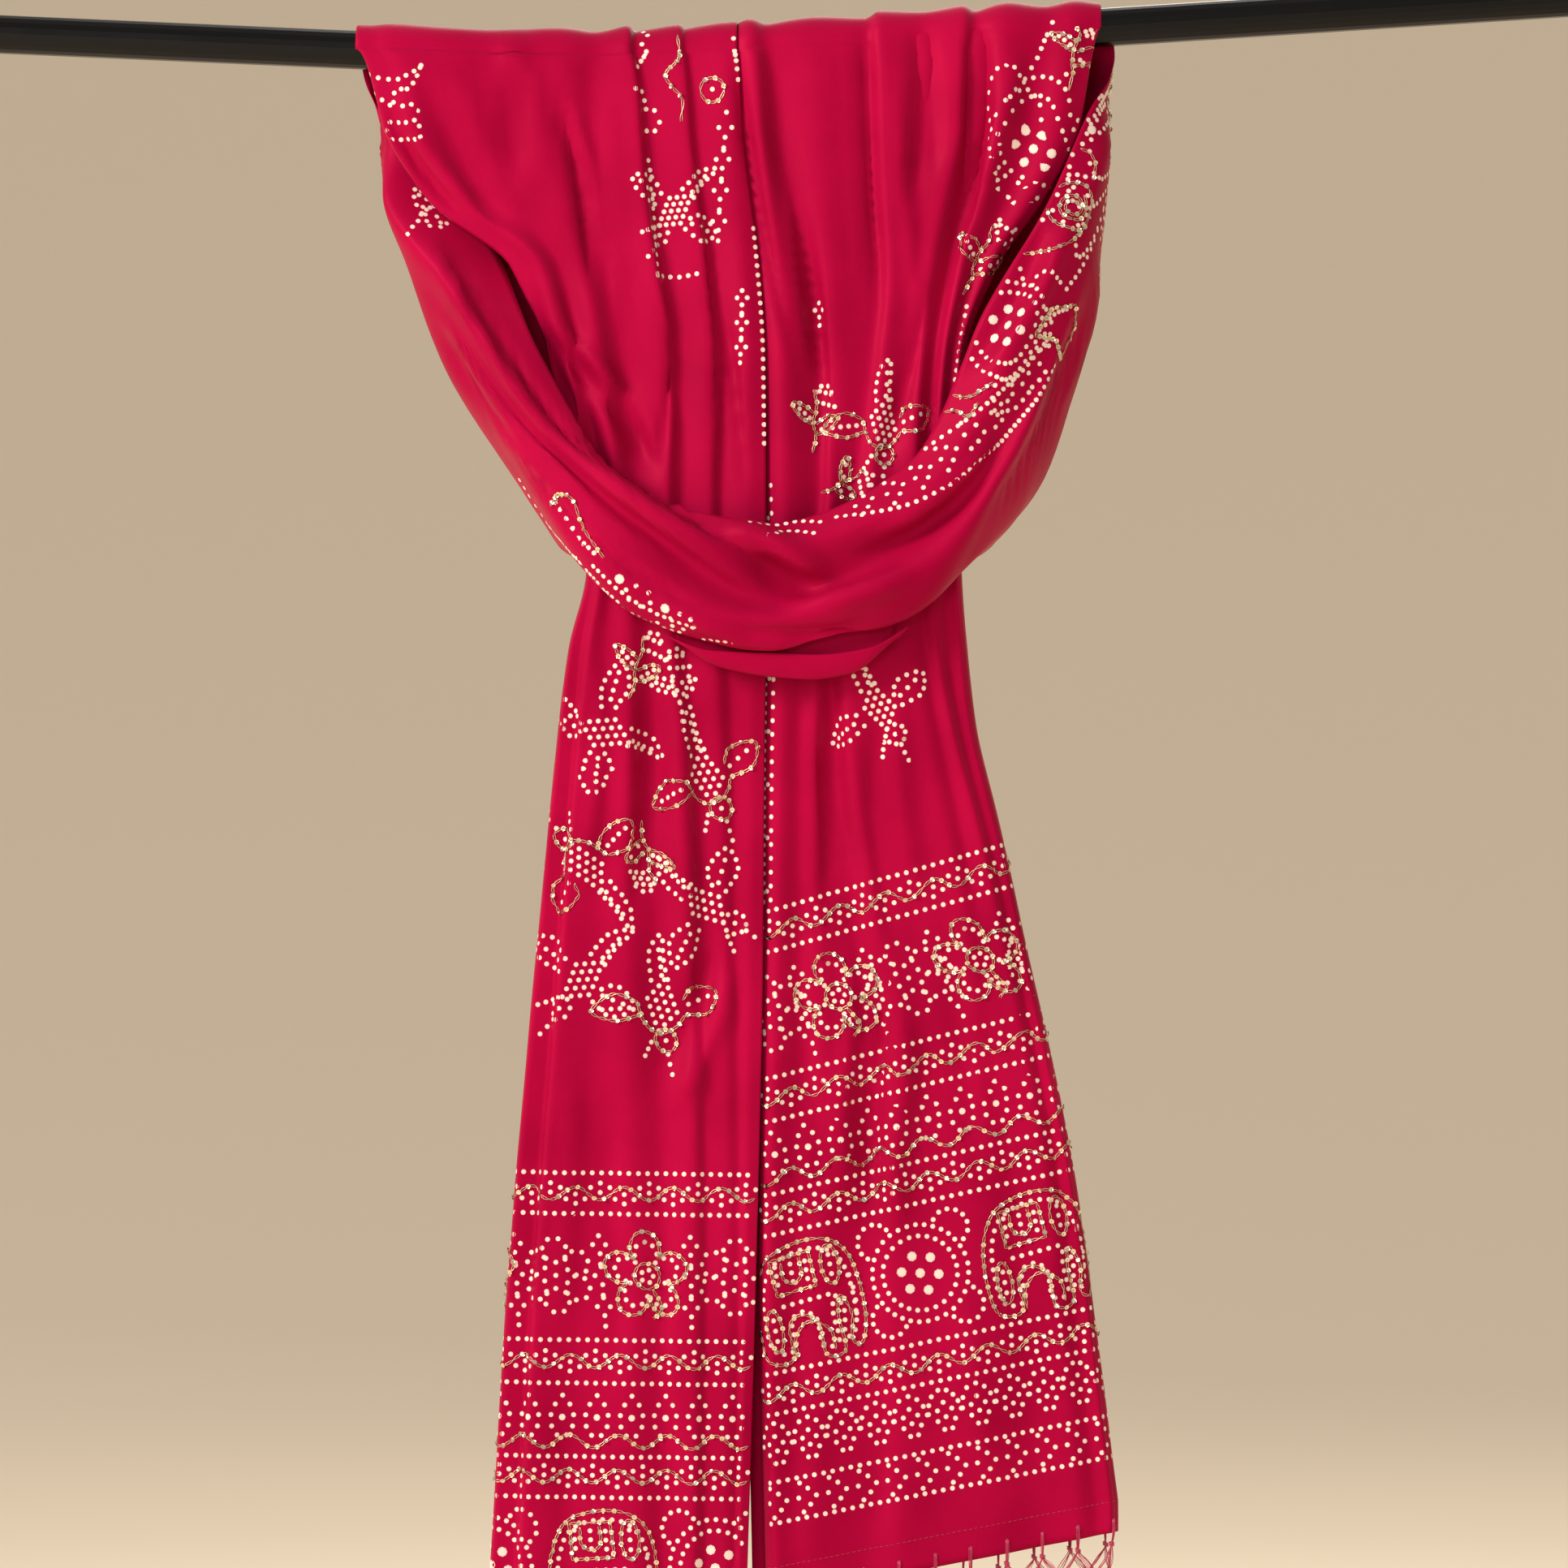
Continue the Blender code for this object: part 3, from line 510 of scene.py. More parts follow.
def flow(values, places, knots=None):
    """Values of a table at new places, smooth between its rows and never past them.

    The rows stand at the knots, or else at 0, 1, 2 and so on.
    """
    values = np.asarray(values, float)
    knots = np.asarray(range(len(values)) if knots is None else knots, float)
    places = np.atleast_1d(np.asarray(places, float))
    span = np.diff(knots).reshape((-1,) + (1,) * (values.ndim - 1))
    secant = np.diff(values, axis=0) / span
    before, after = secant[:-1], secant[1:]
    same_way = before * after > 0
    total = np.where(same_way, before + after, 1.0)
    inner = np.where(same_way, 2 * before * after / total, 0.0)
    slope = np.concatenate([secant[:1], inner, secant[-1:]])
    index = np.clip(np.searchsorted(knots, places, side="right") - 1, 0, len(knots) - 2)
    step = span[index]
    t = ((places - knots[index]) / np.diff(knots)[index]).reshape(step.shape)
    return (
        (2 * t**3 - 3 * t**2 + 1) * values[index]
        + (t**3 - 2 * t**2 + t) * step * slope[index]
        + (3 * t**2 - 2 * t**3) * values[index + 1]
        + (t**3 - t**2) * step * slope[index + 1]
    )


def x_of(across):
    """Metres to the right of the origin for a place across the grid."""
    return (np.asarray(across, float) - GRID_ACROSS_AT_ORIGIN) * GRID


def z_of(down):
    """Metres above the origin for a place down the grid."""
    return (GRID_DOWN_AT_ORIGIN - np.asarray(down, float)) * GRID


def across_of(x):
    """Place across the grid for metres to the right of the origin."""
    return np.asarray(x, float) / GRID + GRID_ACROSS_AT_ORIGIN


def down_of(z):
    """Place down the grid for metres above the origin."""
    return GRID_DOWN_AT_ORIGIN - np.asarray(z, float) / GRID


def rod_z(x):
    """Height of the rod's axis: two straight runs joined by a short bend, through the origin."""
    spread = ROD_BEND_SPREAD * GRID
    mean = (ROD_SLOPE_LEFT + ROD_SLOPE_RIGHT) / 2
    half = (ROD_SLOPE_LEFT - ROD_SLOPE_RIGHT) / 2
    away = np.asarray(x, float) - x_of(ROD_BEND_ACROSS)
    at_origin = -x_of(ROD_BEND_ACROSS)
    rise = half * (np.sqrt(away**2 + spread**2) - math.hypot(at_origin, spread))
    return rise - mean * (away - at_origin)


def smooth_step(share):
    """An even ramp from 0 to 1 with soft ends."""
    share = np.clip(share, 0, 1)
    return share * share * (3 - 2 * share)


def tail_section(folds, hem_level, down):
    """One level of a tail, from the selvedge, round the outer fold, to the back's free edge.

    Gives the places across in metres and the lifts off the rod's surface in metres.
    """
    levels = LEVELS + (hem_level,)
    across = flow(np.array([row[1] for row in folds]).T, down, levels)[0]
    lift_table = np.array([row[2] for row in folds]) + np.array(FRONT_LIFT)
    lift = flow(lift_table.T, down, levels)[0] * MM
    back = flow(BACK_LIFT, down, levels)[0] * MM
    loose = np.clip((down - LEVELS[0]) / (LEVELS[3] - LEVELS[0]), 0, 1)
    x = x_of(across)
    inward = math.copysign(1.0, x[-1] - x[0])
    x[0] += inward * FOLD_TURN
    fine = np.linspace(0, len(folds) - 1, front_columns(folds))
    front = flow(np.stack([x, lift], 1)[::-1], fine)
    middle, half = (lift[0] + back) / 2, (lift[0] - back) / 2
    turn = np.linspace(0, math.pi, TURN_STEPS + 1)[1:]
    outer_x = x[0] - inward * FOLD_TURN * np.sin(turn)
    edge = np.stack([outer_x, middle + half * np.cos(turn)], 1)
    shares = np.array([0.0] + [row[0] for row in BACK_WAVES])
    if inward < 0:
        shares[-1] = BACK_REACH
    waves = np.array([0.0] + [row[1] * MM * loose for row in BACK_WAVES])
    places = np.linspace(0, len(BACK_WAVES), len(BACK_WAVES) * STEPS_PER_BACK_WAVE + 1)[1:]
    layer = flow(np.stack([shares, waves], 1), places)
    layer_x = x[0] + (x[-1] - x[0]) * layer[:, 0]
    behind = np.stack([layer_x, back + layer[:, 1]], 1)
    return np.concatenate([front, edge, behind])


def front_columns(folds):
    """How many columns of a tail's grid its front layer takes."""
    return (len(folds) - 1) * STEPS_PER_FOLD + 1


def rise_at(down, hem_rise):
    """How much of the hem's rise a level takes: none above the waist, all of it lower down."""
    share = (down - RISE_FROM_LEVEL) / (RISE_FULL_AT_LEVEL - RISE_FROM_LEVEL)
    return hem_rise * smooth_step(share)


def tail_points(folds, hem_level, hem_rise):
    """The whole fine grid of a tail, from behind the rod, over it and down to the hem's edge."""
    top = tail_section(folds, hem_level, LEVELS[0])
    reach, x = ROD_RADIUS + top[:, 1], top[:, 0]
    rows = []
    for angle in np.linspace(0, math.pi, WRAP_STEPS, endpoint=False):
        rows.append(np.stack([x, reach * math.cos(angle), rod_z(x) + reach * math.sin(angle)], 1))
    last = hem_level + HEM_SQUARES
    for down in np.linspace(LEVELS[0], last, round((last - LEVELS[0]) / ROW_STEP_SQUARES)):
        section = tail_section(folds, hem_level, min(down, hem_level))
        x = section[:, 0]
        rise = rise_at(min(down, hem_level), hem_rise)
        side = math.copysign(1, x.mean() - x[0])
        level = down + rise * side * (x - x[0]) / (x.max() - x.min())
        share = np.clip((down - LEVELS[0]) / (LEVELS[1] - LEVELS[0]), 0, 1)
        z = rod_z(x) * (1 - share) + z_of(level) * share
        rows.append(np.stack([x, -(ROD_RADIUS + section[:, 1]), z], 1))
    return np.array(rows)


def loop_table():
    """Lines of the loop as an array: place along the loop, line, then x, y and z."""
    sides = []
    for table, folds in ((LEFT_LOOP, LEFT_FOLDS), (RIGHT_LOOP, RIGHT_FOLDS)):
        spots = np.array([row[1:] for row in table], float).transpose(1, 0, 2)
        points = np.stack([x_of(spots[..., 0]), spots[..., 2] * MM, z_of(spots[..., 1])], axis=-1)
        across = x_of([row[1][0] for row in folds])
        lift = np.array([row[2][0] for row in folds]) * MM
        order = np.argsort(across)
        x = points[0, :, 0]
        points[0, :, 1] = ROD_RADIUS + np.interp(x, across[order], lift[order])
        points[0, :, 2] = rod_z(x) - ARM_SEAM
        sides.append(points)
    return np.concatenate([sides[0], sides[1][-2::-1]])


def loop_points():
    """The loop's fine grid and each point's place along the loop and line across it."""
    table = loop_table()
    along = np.linspace(0, LOOP_LAST_PLACE, LOOP_LAST_PLACE * LOOP_STEPS_PER_PLACE + 1)
    across = np.linspace(0, LOOP_LINES - 1, (LOOP_LINES - 1) * LOOP_STEPS_PER_LINE + 1)
    points = flow(flow(table, along).transpose(1, 0, 2), across).transpose(1, 0, 2)
    place, line = np.meshgrid(along, across, indexing="ij")
    return points, place, line


def hanging_fold_points():
    """The fold under the swag: from behind the swag's lower edge, down, and up to a front lip."""
    table = loop_table()
    spots = np.array(HANGING_FOLD, float)
    edge = flow(table, spots[:, 0])
    start = edge[:, -1] + np.array([0, HANGING_FOLD_START, 0])
    turn = edge[:, -2]
    middle_y = start[:, 1] - HANGING_FOLD_DEPTH / 2
    bottom = np.stack([start[:, 0], middle_y, z_of(spots[:, 1])], 1)
    lip = np.stack([turn[:, 0], start[:, 1] - HANGING_FOLD_DEPTH, z_of(spots[:, 2])], 1)
    back = (start + bottom) / 2 + np.array([0, HANGING_FOLD_SWELL, 0])
    front = (bottom + lip) / 2 - np.array([0, HANGING_FOLD_SWELL, HANGING_FOLD_SWELL])
    rows = np.array([start, back, bottom, front, lip])
    along = np.linspace(0, len(spots) - 1, HANGING_FOLD_STEPS + 1)
    cross = np.linspace(0, len(rows) - 1, HANGING_FOLD_CROSS_STEPS + 1)
    return flow(flow(rows.transpose(1, 0, 2), along).transpose(1, 0, 2), cross)


def unit(vectors):
    """Vectors of length 1 the same way as others."""
    return vectors / np.maximum(np.linalg.norm(vectors, axis=-1, keepdims=True), 1e-12)


def front_normals(points, row, column):
    """Unit normals of a grid of points, turned so that the one at a given place faces the front."""
    normal = unit(np.cross(np.gradient(points, axis=1), np.gradient(points, axis=0)))
    return normal * -math.copysign(1, normal[row, column, 1])


def layout_places(points):
    """Places of a grid's points across and down the layout grid, in one list."""
    return np.stack([across_of(points[..., 0]), down_of(points[..., 2])], 2).reshape(-1, 2)


def crease_heights(flat, creases):
    """Height in metres that a table of creases gives each of many flat places."""
    height = np.zeros(len(flat))
    for half_width, crease_height, path in creases:
        share = np.linspace(0, 1, CREASE_STEPS)
        spots = flow(path, share * (len(path) - 1))
        taper = smooth_step(np.minimum(share, 1 - share) / CREASE_TAPER)
        reach = 3 * half_width
        low, high = spots.min(0) - reach, spots.max(0) + reach
        near = np.flatnonzero(np.all((flat > low) & (flat < high), axis=1))
        gap = flat[near, None, :] - spots[None, :, :]
        fall = np.exp(-(gap**2).sum(2) / half_width**2) * taper
        height[near] += fall.max(1) * crease_height * MM
    return height


def wrinkle_heights(points):
    """Small uneven heights in metres, drawn out along the way the cloth hangs."""
    height = np.zeros(len(points))
    for across, down, size in WRINKLES:
        scale = Vector((1 / (across * MM), 1 / (across * MM), 1 / (down * MM)))
        shift = Vector((SEED, across, down))
        height += size * MM * np.array([noise.noise(Vector(p) * scale + shift) for p in points])
    return height


def raise_tail(points, folds):
    """Adds the creases and wrinkles to a tail, on both of its layers."""
    rows, columns = points.shape[:2]
    normal = front_normals(points, rows // 2, front_columns(folds) // 2)
    height = crease_heights(layout_places(points), TAIL_CREASES)
    height = (height + wrinkle_heights(points.reshape(-1, 3))).reshape(rows, columns)
    held = np.minimum(1.0, np.arange(rows) / WRAP_STEPS)[:, None]
    return points + normal * (height * held)[..., None]


def raise_loop(points, place, line):
    """Adds the creases and wrinkles to the loop, each table on its own stretch."""
    normal = front_normals(points, len(points) // 2, points.shape[1] // 2)
    nearest_end = np.minimum(place, LOOP_LAST_PLACE - place)
    shows = smooth_step((nearest_end - SHOWS_FROM) / CHANGE_OVER)
    height = crease_heights(layout_places(points), SWAG_CREASES).reshape(place.shape) * shows
    scale = np.array([ARM_PLACE_SQUARES, ARM_LINE_SQUARES])
    creases = [(half, size, np.array(path) * scale) for half, size, path in ARM_CREASES]
    for side in (place, LOOP_LAST_PLACE - place):
        hidden = smooth_step((HIDDEN_TO - side) / CHANGE_OVER)
        spots = np.stack([side, line], 2).reshape(-1, 2) * scale
        height += hidden * crease_heights(spots, creases).reshape(place.shape)
    height += wrinkle_heights(points.reshape(-1, 3)).reshape(place.shape)
    held = smooth_step(nearest_end / HELD_BY_ROD)
    return points + normal * (height * held)[..., None]


def hex_colour(code):
    """Linear colour of an sRGB hex code."""
    parts = [int(code[i:i + 2], 16) / 255 for i in (1, 3, 5)]
    linear = [c / 12.92 if c <= 0.04045 else ((c + 0.055) / 1.055) ** 2.4 for c in parts]
    return (*linear, 1.0)


def add_node(tree, kind, settings=(), values=(), links=()):
    """Adds a node: settings are its properties, values its inputs, links its inputs' sources."""
    node = tree.nodes.new(kind)
    for key, value in dict(settings).items():
        setattr(node, key, value)
    for key, value in dict(values).items():
        node.inputs[key].default_value = value
    for key, source in dict(links).items():
        tree.links.new(source, node.inputs[key])
    return node


SHADER_INPUTS = {
    "roughness": "Roughness",
    "metallic": "Metallic",
    "ior": "IOR",
    "specular": "Specular IOR Level",
    "tint": "Specular Tint",
    "anisotropic": "Anisotropic",
    "coat": "Coat Weight",
    "coat_roughness": "Coat Roughness",
    "sheen": "Sheen Weight",
    "sheen_roughness": "Sheen Roughness",
    "sheen_tint": "Sheen Tint",
}


def new_material(name, colour, **values):
    """A node material with constant shader inputs by plain names.

    Gives the material, its tree, its shader and the socket of places on the object.
    """
    made = bpy.data.materials.new(name)
    made.use_nodes = True
    tree = made.node_tree
    shader = tree.nodes["Principled BSDF"]
    shader.inputs["Base Color"].default_value = colour
    for key, value in values.items():
        shader.inputs[SHADER_INPUTS[key]].default_value = value
    return made, tree, shader, add_node(tree, "ShaderNodeTexCoord").outputs["Object"]


def per_metre(size):
    """Scale of a noise whose grains have a real size in mm."""
    return 1 / (size * MM)


# The true yarn is 0.25 mm wide, so what shows is the slant of its twill, about 0.9 mm wide.
TWILL = 0.9
TWILL_SLANT = math.radians(52)


def woven_bump(tree, place, height, strength):
    """Fine slanting slubs of a twill as bump, uneven as spun yarn is, with a broader unevenness."""
    slanting = add_node(tree, "ShaderNodeMapping", {"vector_type": "TEXTURE"},
                        {"Rotation": (0, TWILL_SLANT, 0), "Scale": (1.0, 1.0, 5.0)},
                        {"Vector": place}).outputs[0]
    twill = add_node(tree, "ShaderNodeTexNoise", {}, {"Scale": per_metre(TWILL), "Detail": 2.0},
                     {"Vector": slanting})
    broad = add_node(tree, "ShaderNodeTexNoise", {}, {"Scale": per_metre(9 * TWILL), "Detail": 3.0},
                     {"Vector": place})
    mixed = add_node(tree, "ShaderNodeMix", {"data_type": "FLOAT"}, {0: 0.45},
                     {2: twill.outputs[0], 3: broad.outputs[0]})
    return add_node(tree, "ShaderNodeBump", {}, {"Strength": strength, "Distance": height * MM},
                    {"Height": mixed.outputs[0]}).outputs[0]


def modal_satin(colour, deep):
    """Modal satin, piece dyed and calendered: a soft broad sheen over a fine twill."""
    made, tree, shader, place = new_material(
        "modal_satin_dyed_woven", colour, roughness=0.46, ior=1.46, specular=0.3,
        tint=hex_colour("#FF3C64"), sheen=0.12, sheen_roughness=0.35,
        sheen_tint=hex_colour("#FF2A5C"))
    # The dye takes a little unevenly, over patches the size of a palm and down to a thumb's.
    patch = add_node(tree, "ShaderNodeTexNoise", {}, {"Scale": per_metre(71.43), "Detail": 4.0},
                     {"Vector": place})
    ramp = add_node(tree, "ShaderNodeMapRange", {}, {"From Min": 0.32, "From Max": 0.68},
                    {"Value": patch.outputs[0]})
    tone = add_node(tree, "ShaderNodeMix", {"data_type": "RGBA"}, {6: deep, 7: colour},
                    {0: ramp.outputs[0]})
    tree.links.new(tone.outputs[2], shader.inputs["Base Color"])
    tree.links.new(woven_bump(tree, place, 0.12, 0.45), shader.inputs["Normal"])
    return made


def printed_dye(colour):
    """Discharge print on satin: ivory dots, matt and chalky, a little pink where they fade out."""
    made, tree, shader, place = new_material(
        "discharge_print_ivory", colour, roughness=0.62, ior=1.46, sheen=0.1)
    edge = add_node(tree, "ShaderNodeAttribute", {"attribute_name": "edge"}).outputs["Fac"]
    fade = add_node(tree, "ShaderNodeMapRange", {"interpolation_type": "SMOOTHSTEP"},
                    {"From Min": 0.55, "From Max": 1.1}, {"Value": edge})
    # The bleach takes unevenly over about the width of a dot.
    patch = add_node(tree, "ShaderNodeTexNoise", {}, {"Scale": per_metre(3.846), "Detail": 2.0},
                     {"Vector": place})
    soft = add_node(tree, "ShaderNodeMath", {"operation": "MULTIPLY"}, {},
                    {0: fade.outputs[0], 1: patch.outputs[0]})
    tone = add_node(tree, "ShaderNodeMix", {"data_type": "RGBA"},
                    {6: colour, 7: hex_colour("#E58FA0")}, {0: soft.outputs[0]})
    tree.links.new(tone.outputs[2], shader.inputs["Base Color"])
    tree.links.new(woven_bump(tree, place, 0.08, 0.4), shader.inputs["Normal"])
    return made


def mottle(tree, shader, place, size, detail, colour, other):
    """Lets grains of a size in mm move a colour towards another one. Gives the noise's socket."""
    grain = add_node(tree, "ShaderNodeTexNoise", {}, {"Scale": per_metre(size), "Detail": detail},
                     {"Vector": place}).outputs[0]
    tone = add_node(tree, "ShaderNodeMix", {"data_type": "RGBA"}, {6: colour, 7: other}, {0: grain})
    tree.links.new(tone.outputs[2], shader.inputs["Base Color"])
    return grain


def zari_thread(colour):
    """Metallised polyester thread, twisted: champagne glints that break up along each strand."""
    made, tree, shader, place = new_material(
        "zari_thread_metallised_twisted", colour, metallic=0.85, roughness=0.36)
    # The strand turns over every 0.6 mm or so.
    twist = mottle(tree, shader, place, 0.625, 2.0, colour, hex_colour("#FBEFD2"))
    rough = add_node(tree, "ShaderNodeMapRange", {}, {"To Min": 0.25, "To Max": 0.5},
                     {"Value": twist})
    tree.links.new(rough.outputs[0], shader.inputs["Roughness"])
    return made


def sequin_film(colour):
    """Polyester film, metallised and punched: mirror glints, each disc a little different."""
    made, tree, shader, place = new_material(
        "sequin_film_metallised_punched", colour, metallic=1.0, roughness=0.15)
    # These grains are a little wider than a sequin, so each one has its own tone.
    scuff = mottle(tree, shader, place, 3.333, 3.0, colour, hex_colour("#FFF6E2"))
    rough = add_node(tree, "ShaderNodeMapRange", {}, {"To Min": 0.08, "To Max": 0.24},
                     {"Value": scuff})
    tree.links.new(rough.outputs[0], shader.inputs["Roughness"])
    return made


def rayon_floss(name, colour, bright):
    """Rayon floss, spun and dyed: bright glossy filaments in crimson and pink."""
    made, tree, shader, place = new_material(
        name, colour, roughness=0.3, ior=1.5, sheen=0.25, anisotropic=0.5)
    # A filament is 0.02 mm wide, too fine to show, so the strands vary over 2 mm and less.
    strand = mottle(tree, shader, place, 2.0, 2.0, colour, bright)
    bump = add_node(tree, "ShaderNodeBump", {}, {"Strength": 0.3, "Distance": 0.1 * MM},
                    {"Height": strand})
    tree.links.new(bump.outputs[0], shader.inputs["Normal"])
    return made


def black_enamel():
    """Steel tube with black enamel, sprayed: a soft highlight line, faintly orange-peeled."""
    made, tree, shader, place = new_material(
        "steel_tube_gloss_black_enamel", hex_colour("#030304"), ior=1.5, specular=0.2, coat=0.1,
        coat_roughness=0.12)
    # The orange peel is 1.1 mm wide, and the film of dust lies in patches a thumb wide.
    peel = add_node(tree, "ShaderNodeTexNoise", {}, {"Scale": per_metre(1.111), "Detail": 2.0},
                    {"Vector": place})
    dust = add_node(tree, "ShaderNodeTexNoise", {}, {"Scale": per_metre(16.67), "Detail": 5.0},
                    {"Vector": place})
    rough = add_node(tree, "ShaderNodeMapRange", {}, {"To Min": 0.18, "To Max": 0.3},
                     {"Value": dust.outputs[0]})
    tree.links.new(rough.outputs[0], shader.inputs["Roughness"])
    bump = add_node(tree, "ShaderNodeBump", {}, {"Strength": 0.12, "Distance": 0.05 * MM},
                    {"Height": peel.outputs[0]})
    tree.links.new(bump.outputs[0], shader.inputs["Normal"])
    return made


def matte_paper():
    """Seamless paper, pale and matt, with the faint tooth of its pressed pulp."""
    made, tree, shader, place = new_material(
        "seamless_paper_matt_pressed", hex_colour("#FCEDD6"), roughness=0.95, specular=0.2)
    # The pulp's true grain is finer than a millimetre, so it is drawn 2.5 mm wide to show.
    tooth = add_node(tree, "ShaderNodeTexNoise", {}, {"Scale": per_metre(2.5), "Detail": 3.0},
                     {"Vector": place})
    bump = add_node(tree, "ShaderNodeBump", {}, {"Strength": 0.1, "Distance": 0.1 * MM},
                    {"Height": tooth.outputs[0]})
    tree.links.new(bump.outputs[0], shader.inputs["Normal"])
    return made


def new_object(name, data):
    """A new object in the scene."""
    made = bpy.data.objects.new(name, data)
    bpy.context.scene.collection.objects.link(made)
    return made


def mesh_object(name, verts, faces, look):
    """A smooth mesh object."""
    mesh = bpy.data.meshes.new(name)
    mesh.from_pydata(np.asarray(verts).tolist(), [], faces)
    mesh.materials.append(look)
    mesh.shade_smooth()
    return new_object(name, mesh)


def add_piece(name, verts, faces, look):
    """A mesh piece of the stole that rides on its one body."""
    made = mesh_object(name, verts, faces, look)
    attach(made, "root")
    return made


def grid_faces(rows, columns):
    """Quads of a grid of points, row by row."""
    corner = (np.arange(rows - 1)[:, None] * columns + np.arange(columns - 1)).ravel()
    return np.stack([corner, corner + 1, corner + columns + 1, corner + columns], 1).tolist()


def ring_faces(rings, sides):
    """Quads between rings of points, ring by ring."""
    return [(ring * sides + k, ring * sides + (k + 1) % sides,
             (ring + 1) * sides + (k + 1) % sides, (ring + 1) * sides + k)
            for ring in range(rings - 1) for k in range(sides)]


def cloth_shell(name, points, look):
    """A thin closed shell of cloth through a grid of points."""
    made = add_piece(name, points.reshape(-1, 3), grid_faces(*points.shape[:2]), look)
    wall = made.modifiers.new("wall", "SOLIDIFY")
    wall.thickness = CLOTH_WALL
    wall.offset = 0.0
    return made


def flat_size(points, first_row=0):
    """A cloth's flat width and length: its grid's mean run across, from a row on, and along."""
    runs = []
    for grid, axis in ((points[first_row:], 1), (points, 0)):
        runs.append(np.linalg.norm(np.diff(grid, axis=axis), axis=2).sum(axis=axis).mean())
    return tuple(round(float(run), 3) for run in runs)


class Sheet:
    """A cloth's outer face in flat places: u across the cloth and v along it, in squares."""

    def __init__(self, points, along, axes, shows):
        steps = np.linalg.norm(np.diff(points, axis=1), axis=2) / GRID
        run = np.concatenate([np.zeros((len(points), 1)), np.cumsum(steps, axis=1)], axis=1)
        u = np.arange(int(run.max() / FLAT_STEP) + 2) * FLAT_STEP
        normal = front_normals(points, len(points) // 2, FACING_COLUMN)
        both = np.concatenate([points, normal], axis=2)
        self.table = np.array([
            np.stack([np.interp(u, row, values) for values in spots.T], 1)
            for row, spots in zip(run, both)
        ])
        self.length, self.along, self.axes = run[:, -1], along, np.array(axes, float)
        facing = self.table[..., 4] < FACING_LIMIT
        within = (u[None, :] < self.length[:, None]) & shows[:, None]
        self.hidden = ~(facing & within)

    def spot(self, u, v):
        """Points and unit normals of the outer face at flat places."""
        row = np.interp(v, self.along, np.arange(len(self.along)))
        # The last column has no neighbour, so places stop just short of it.
        column = np.clip(np.asarray(u) / FLAT_STEP, 0, self.table.shape[1] - 1.001)
        r, c = np.minimum(row.astype(int), len(self.along) - 2), column.astype(int)
        down, right = (row - r)[..., None], (column - c)[..., None]
        table = self.table
        both = ((table[r, c] * (1 - right) + table[r, c + 1] * right) * (1 - down)
                + (table[r + 1, c] * (1 - right) + table[r + 1, c + 1] * right) * down)
        normal = unit(both[..., 3:])
        return both[..., :3] + normal * CLOTH_WALL / 2, normal

    def shift(self, u, v, a, b):
        """Flat places that lie a across and b along from others, measured on the cloth."""
        h = FLAT_STEP
        across = (self.spot(u + h, v)[0] - self.spot(u - h, v)[0]) / (2 * h * GRID)
        along = (self.spot(u, v + h)[0] - self.spot(u, v - h)[0]) / (2 * h * GRID)
        stretch = np.maximum(np.linalg.norm(across, axis=-1), LEAST_STRETCH)
        way = across / stretch[..., None]
        lean = (along * way).sum(-1)
        straight = np.linalg.norm(along - way * lean[..., None], axis=-1)
        rest = np.maximum(straight, LEAST_STRETCH)
        step_v = b / rest
        return u + (a - lean * step_v) / stretch, v + step_v

    def find(self, across, down):
        """Flat place of the shown cloth at a place of the layout grid."""
        target = np.array([float(x_of(across)), float(z_of(down))])
        gap = ((self.table[..., [0, 2]] - target) ** 2).sum(2)
        gap[self.hidden] = np.inf
        r, c = np.unravel_index(gap.argmin(), gap.shape)
        u, v = c * FLAT_STEP, float(self.along[r])
        h = FLAT_STEP
        here = self.spot(u, v)[0][[0, 2]]
        slopes = np.stack([(self.spot(u + h, v)[0][[0, 2]] - here) / h,
                           (self.spot(u, v + h)[0][[0, 2]] - here) / h], 1)
        if abs(np.linalg.det(slopes)) > LEAST_SLANT * GRID**2:
            step = np.clip(np.linalg.solve(slopes, target - here), -FIND_REACH, FIND_REACH)
            u, v = u + step[0], v + step[1]
        return u, v

    def inside(self, u, v, margin):
        """Whether flat places lie on the cloth, a margin clear of its edges."""
        length = np.interp(v, self.along, self.length)
        low, high = self.along[0] + margin, self.along[-1] - margin
        return (u > margin) & (u < length - margin) & (v > low) & (v < high)


